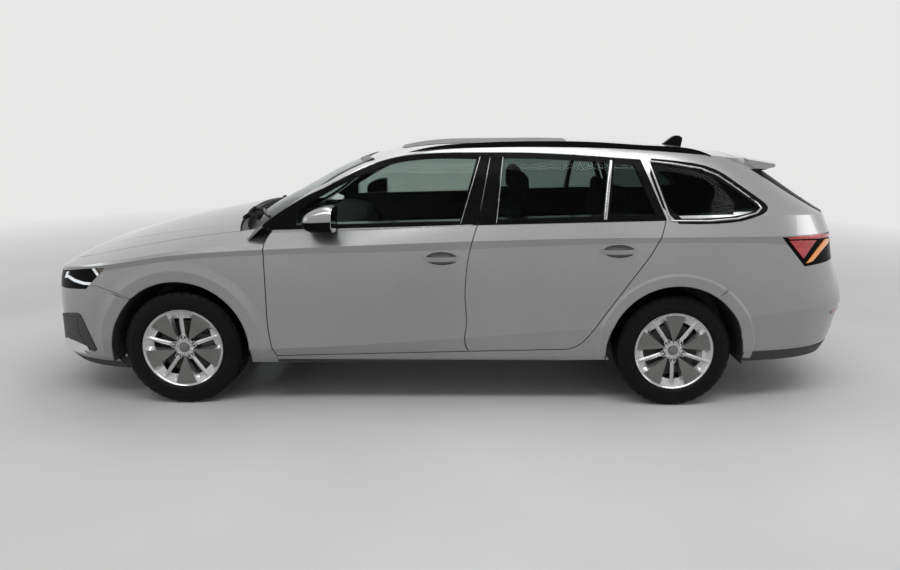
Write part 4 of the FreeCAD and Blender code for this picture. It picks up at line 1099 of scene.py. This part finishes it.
# The front seen from ahead, in millimetres across and up
SIDE_INTAKE_FRONT = [(-540, 412), (-720, 466), (-800, 460), (-805, 330), (-790, 285), (-560, 296)]
INTAKE_BLADE_FRONT = [(-500, 262), (-560, 296), (-780, 284), (-790, 258), (-640, 244)]
FRONT_END = ["front_bumper", "grille"]
GRILLE_TOP = 650
GRILLE_FOOT = 496
GRILLE_HALF = 505
GRILLE_LOOP = [
    (-GRILLE_HALF, GRILLE_TOP), (GRILLE_HALF, GRILLE_TOP), (484, 566), (428, GRILLE_FOOT),
    (-428, GRILLE_FOOT), (-484, 566)]
RIB_PITCH = 24
RIB_TAPER = 0.93
GRILLE_RIBS = [[(n * RIB_PITCH * RIB_TAPER, GRILLE_FOOT + 8), (n * RIB_PITCH, GRILLE_TOP - 6)]
               for n in range(-18, 19) if n]
INTAKE_BARS = [[(-400, height), (400, height)] for height in (256, 272, 288)]

pair(drape, "side_intake", SIDE_INTAKE, photo_ray, BUMPER, PLASTIC, step=1.4)
pair(drape, "side_intake_front", SIDE_INTAKE_FRONT, front_ray, BUMPER, PLASTIC, 0.003, 0.002, 8)
pair(drape, "intake_blade", INTAKE_BLADE, photo_ray, BUMPER, CHROME, 0.003, 0.005, 1.4)
pair(drape, "intake_blade_front", INTAKE_BLADE_FRONT, front_ray, BUMPER, CHROME, 0.004, 0.004, 8)
drape("grille_panel", GRILLE_LOOP, front_ray, FRONT_END, GLOSS_BLACK, step=12)
beads("grille_ribs", GRILLE_RIBS, front_ray, FRONT_END, GLOSS_BLACK, 0.011, 0.012, 10)
bead("grille_frame", GRILLE_LOOP, front_ray, FRONT_END, CHROME, 0.016, 0.009, 8, closed=True)
beads("lower_intake_bars", INTAKE_BARS, front_ray, FRONT_END, PLASTIC, 0.007, 0.008, 12)

# The windscreen's black bands
SCREEN_SIDE = plane((-0.85, -0.618, 1.13), (0.19, -1, 0))


def outer_screen(face):
    return face.normal.z > 0.2 and face.normal.x < -0.2


overlay("screen_band_top", "windscreen", SCREEN_EDGE, [above(1.325)], outer_screen)
overlay("screen_band_foot", "windscreen", SCREEN_EDGE, [below(0.975)], outer_screen)
pair(overlay, "screen_band", "windscreen", SCREEN_EDGE, [SCREEN_SIDE], outer_screen)

# The windscreen pillars' lower ends, between the screen's edge and the top of the front door
PILLAR_SCREEN = (
    (-1.1, -0.72, 0.936), (-1.03, -0.706, 0.979), (-0.962, -0.692, 1.018), (-0.888, -0.678, 1.07),
    (-0.814, -0.664, 1.128), (-0.762, -0.654, 1.17), (-0.705, -0.643, 1.206), (-0.64, -0.63, 1.241))
PILLAR_DOOR = (
    (-1.085, -0.852, 0.922), (-1.01, -0.836, 0.996), (-0.958, -0.824, 1.035), (-0.89, -0.806, 1.083),
    (-0.822, -0.794, 1.126), (-0.768, -0.786, 1.156), (-0.708, -0.776, 1.183), (-0.64, -0.762, 1.211))
PILLAR_UP = Vector((-0.45, -0.45, 0.77)).normalized()
PILLAR_THICK = 0.012
PILLAR_CROWN = 0.008


def make_pillar_foot(name):
    """A crowned strip that carries on the pillar down to the fender."""
    rings = []
    for screen, door in zip(PILLAR_SCREEN, PILLAR_DOOR):
        start = Vector(door)
        across = Vector(screen) - start
        ring = [start + across * share + PILLAR_UP * PILLAR_CROWN * 4 * share * (1 - share)
                for share in (0, 0.2, 0.4, 0.6, 0.8, 1)]
        rings.append(ring + [place - PILLAR_UP * PILLAR_THICK for place in reversed(ring)])
    return piece(name, lofted(rings, name, 40), "body", PAINT)


pair(make_pillar_foot, "pillar_foot")

# Wipers seen from ahead: foot and elbow of the arm, and both ends of the blade
WIPERS = (
    ("wiper_driver", (-560, 965), (-470, 985), (-600, 1002), (-20, 1010)),
    ("wiper_passenger", (110, 968), (190, 990), (40, 1012), (560, 1002)),
)
SCREEN = ["windscreen", "cowl"]
for name, foot, elbow, start, end in WIPERS:
    bead(name + "_blade", [start, end], front_ray, SCREEN, PLASTIC, 0.014, 0.018, 8)
    arm = [foot, elbow, between(start, end, 0.5)]
    bead(name + "_arm", arm, front_ray, SCREEN, GLOSS_BLACK, 0.016, 0.026, 8)

# The glass roof panel and soft creases in the bonnet, seen from above
ROOF_GLASS = rounded([
    (1190, -430), (1130, -370), (1125, 0), (1130, 370), (1190, 430), (2080, 445), (2130, 395), (2135, 0),
    (2130, -395), (2080, -445)], 2)
BONNET_CREASE = [(-720, -420), (-420, -500), (-100, -570), (180, -615)]
drape("roof_glass_panel", ROOF_GLASS, top_ray, ["roof"], SCREEN_EDGE, 0.0008, 0.0012, 24)

# The mirrors: a black lower half and foot, and the glass
MIRROR = "door_mirror_left"
MIRROR_LOW, MIRROR_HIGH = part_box(MIRROR)
MIRROR_WAIST = MIRROR_LOW.z + (MIRROR_HIGH.z - MIRROR_LOW.z) * 0.42
MIRROR_SPLIT = plane((MIRROR_LOW.x, 0, MIRROR_WAIST), (0.05, 0, -1))
MIRROR_FOOT = plane((0, MIRROR_LOW.y + 0.118, 0), (0, 1, 0))
MIRROR_HEAD = plane((0, MIRROR_LOW.y + 0.112, 0), (0, -1, 0))
pair(overlay, "mirror_lower", MIRROR, GLOSS_BLACK, [MIRROR_SPLIT], lambda face: face.normal.x < 0.75)
pair(overlay, "mirror_foot", MIRROR, GLOSS_BLACK, [MIRROR_FOOT], lambda face: True)
pair(overlay, "mirror_glass", MIRROR, MIRROR_GLASS, [MIRROR_HEAD], lambda face: face.normal.x > 0.9)

pair(bead, "bonnet_crease", BONNET_CREASE, top_ray, ["bonnet"], PAINT, 0.034, 0.002, 18, taper=True)

# The tail: lamp outlines in the photograph's pixels, the rest seen from behind in millimetres
TAIL_LAMP_PIECES = (
    ("tail_lamp_red", RED_LENS, [(789, 240.6), (815.5, 240), (803, 258.5)]),
    ("tail_lamp_amber", AMBER, [(824.5, 239), (828, 238.6), (827, 243), (812, 261), (806, 263.2)]),
    ("tail_lamp_top", RED_LENS, [(786.5, 237.8), (828.5, 233.2), (829, 236.4), (818, 238.4), (790, 239.2)]),
)
for name, finish, outline in TAIL_LAMP_PIECES:
    pair(drape, name, outline, photo_ray, ["tail_lamps"], finish, 0.003, 0.003, 1)

TAILGATE_CUTS = [above(1.066), below(1.305), plane((0, -0.44, 0), (0, -1, 0))]
REAR_WINDOW = ["tailgate_glass", "tailgate"]
REAR_BLADE = [(15, 1096), (-340, 1108)]
REAR_ARM = [(0, 1052), (0, 1092), (-170, 1104)]
HIGH_BRAKE_LIGHT = [(-130, 1322), (130, 1322), (130, 1334), (-130, 1334)]
REAR_REFLECTOR = [(-560, 486), (-738, 500), (-752, 518), (-600, 512)]
pair(overlay, "tailgate_glass_side", "tailgate", GLOSS_BLACK, TAILGATE_CUTS,
     lambda face: face.normal.x > 0.12 or face.normal.y < -0.4)
bead("rear_wiper_blade", REAR_BLADE, rear_ray, REAR_WINDOW, PLASTIC, 0.013, 0.016, 10)
bead("rear_wiper_arm", REAR_ARM, rear_ray, REAR_WINDOW, PLASTIC, 0.02, 0.024, 8)
drape("high_brake_light", HIGH_BRAKE_LIGHT, rear_ray, ["tailgate"], DARK_RED, step=6)

# Dark lower edges all round: rear skirt, front lip and sills
overlay("rear_skirt", "rear_bumper", PLASTIC, [below(0.312)],
        lambda face: face.normal.x > 0.1 or abs(face.normal.y) > 0.3)
overlay("front_lip", "front_bumper", PLASTIC, [below(0.212)],
        lambda face: face.normal.x < -0.1 or abs(face.normal.y) > 0.3)
pair(overlay, "sill_lower", SIDE, PLASTIC, [below(0.258)], lambda face: face.normal.y < -0.2)
pair(drape, "rear_reflector", REAR_REFLECTOR, rear_ray, ["rear_bumper"], REFLECTOR, step=5)

# The studio: place, aim, size and watts of each soft lamp
BACKDROP = (0.8, 0.8, 0.795, 1)
WORLD_LIGHT = (0.36, 0.36, 0.36, 1)
FLOOR_SIZE = 60
FLOOR_FADE = (3.6, 9)
LAMPS = (
    ("top_softbox", (0.2, 0.2, 5.2), (0, 0, 0), (7, 2.4), 150),
    ("side_softbox", (0.2, -2.9, 5), (0, -0.6, 0.9), (8.5, 0.8), 160),
    ("far_softbox", (0.5, 6.5, 4.4), (0, 0, 0.7), (8, 1.2), 70),
    ("front_softbox", (-8, -2, 3), (0, 0, 0.6), (3, 2), 45),
    ("rear_softbox", (8, -1.5, 3), (0, 0, 0.6), (3, 2), 50),
)


def background_rays(tree):
    """One for the rays that show the backdrop: straight, reflected or through glass."""
    rays = add_node(tree, "ShaderNodeLightPath", {}).outputs
    total = rays["Is Camera Ray"]
    for kind in ("Is Glossy Ray", "Is Transmission Ray"):
        either = add_node(tree, "ShaderNodeMath", {0: total, 1: rays[kind]}, operation="MAXIMUM")
        total = either.outputs["Value"]
    return total


def make_floor():
    """A pale floor that fades into the backdrop."""
    bm = bmesh.new()
    bmesh.ops.create_grid(bm, x_segments=2, y_segments=2, size=FLOOR_SIZE)
    floor = add_object("studio_floor", to_mesh(bm, "studio_floor"))
    recipe = Recipe("studio_floor")
    pale = recipe.ramp(recipe.noise(0.7, 3), (0.3, (0.5, 0.5, 0.5)), (0.7, (0.55, 0.55, 0.55)))
    recipe.put(Base_Color=pale, Roughness=0.5)
    distance = recipe.node("ShaderNodeVectorMath", {0: recipe.place}, operation="LENGTH").outputs["Value"]
    far = recipe.spread(distance, 0, 1, *FLOOR_FADE)
    seen = recipe.node("ShaderNodeMath", {0: far, 1: background_rays(recipe.tree)}, operation="MULTIPLY")
    glow = recipe.node("ShaderNodeEmission", {"Color": BACKDROP})
    inputs = {"Fac": seen.outputs["Value"], 1: recipe.shader.outputs["BSDF"], 2: glow.outputs["Emission"]}
    blend = recipe.node("ShaderNodeMixShader", inputs)
    feed(recipe.tree, recipe.tree.nodes["Material Output"].inputs["Surface"], blend.outputs["Shader"])
    floor.data.materials.append(recipe.material)


def make_world():
    """An even light, seen as the backdrop's colour."""
    world = bpy.data.worlds.new("studio")
    SCENE.world = world
    world.use_nodes = True
    tree = world.node_tree
    inputs = {"A": WORLD_LIGHT, "B": BACKDROP, "Factor": background_rays(tree)}
    mix = add_node(tree, "ShaderNodeMix", inputs, data_type="RGBA")
    feed(tree, tree.nodes["Background"].inputs["Color"], mix.outputs["Result"])


def make_lamps():
    for name, place, aim, size, power in LAMPS:
        data = bpy.data.lights.new(name, "AREA")
        data.shape = "RECTANGLE"
        data.size, data.size_y = size
        data.energy = power
        lamp = add_object(name, data)
        lamp.location = place
        lamp.rotation_euler = (Vector(aim) - Vector(place)).to_track_quat("-Z", "Y").to_euler()


make_floor()
make_world()
make_lamps()
SCENE.view_settings.view_transform = "Standard"
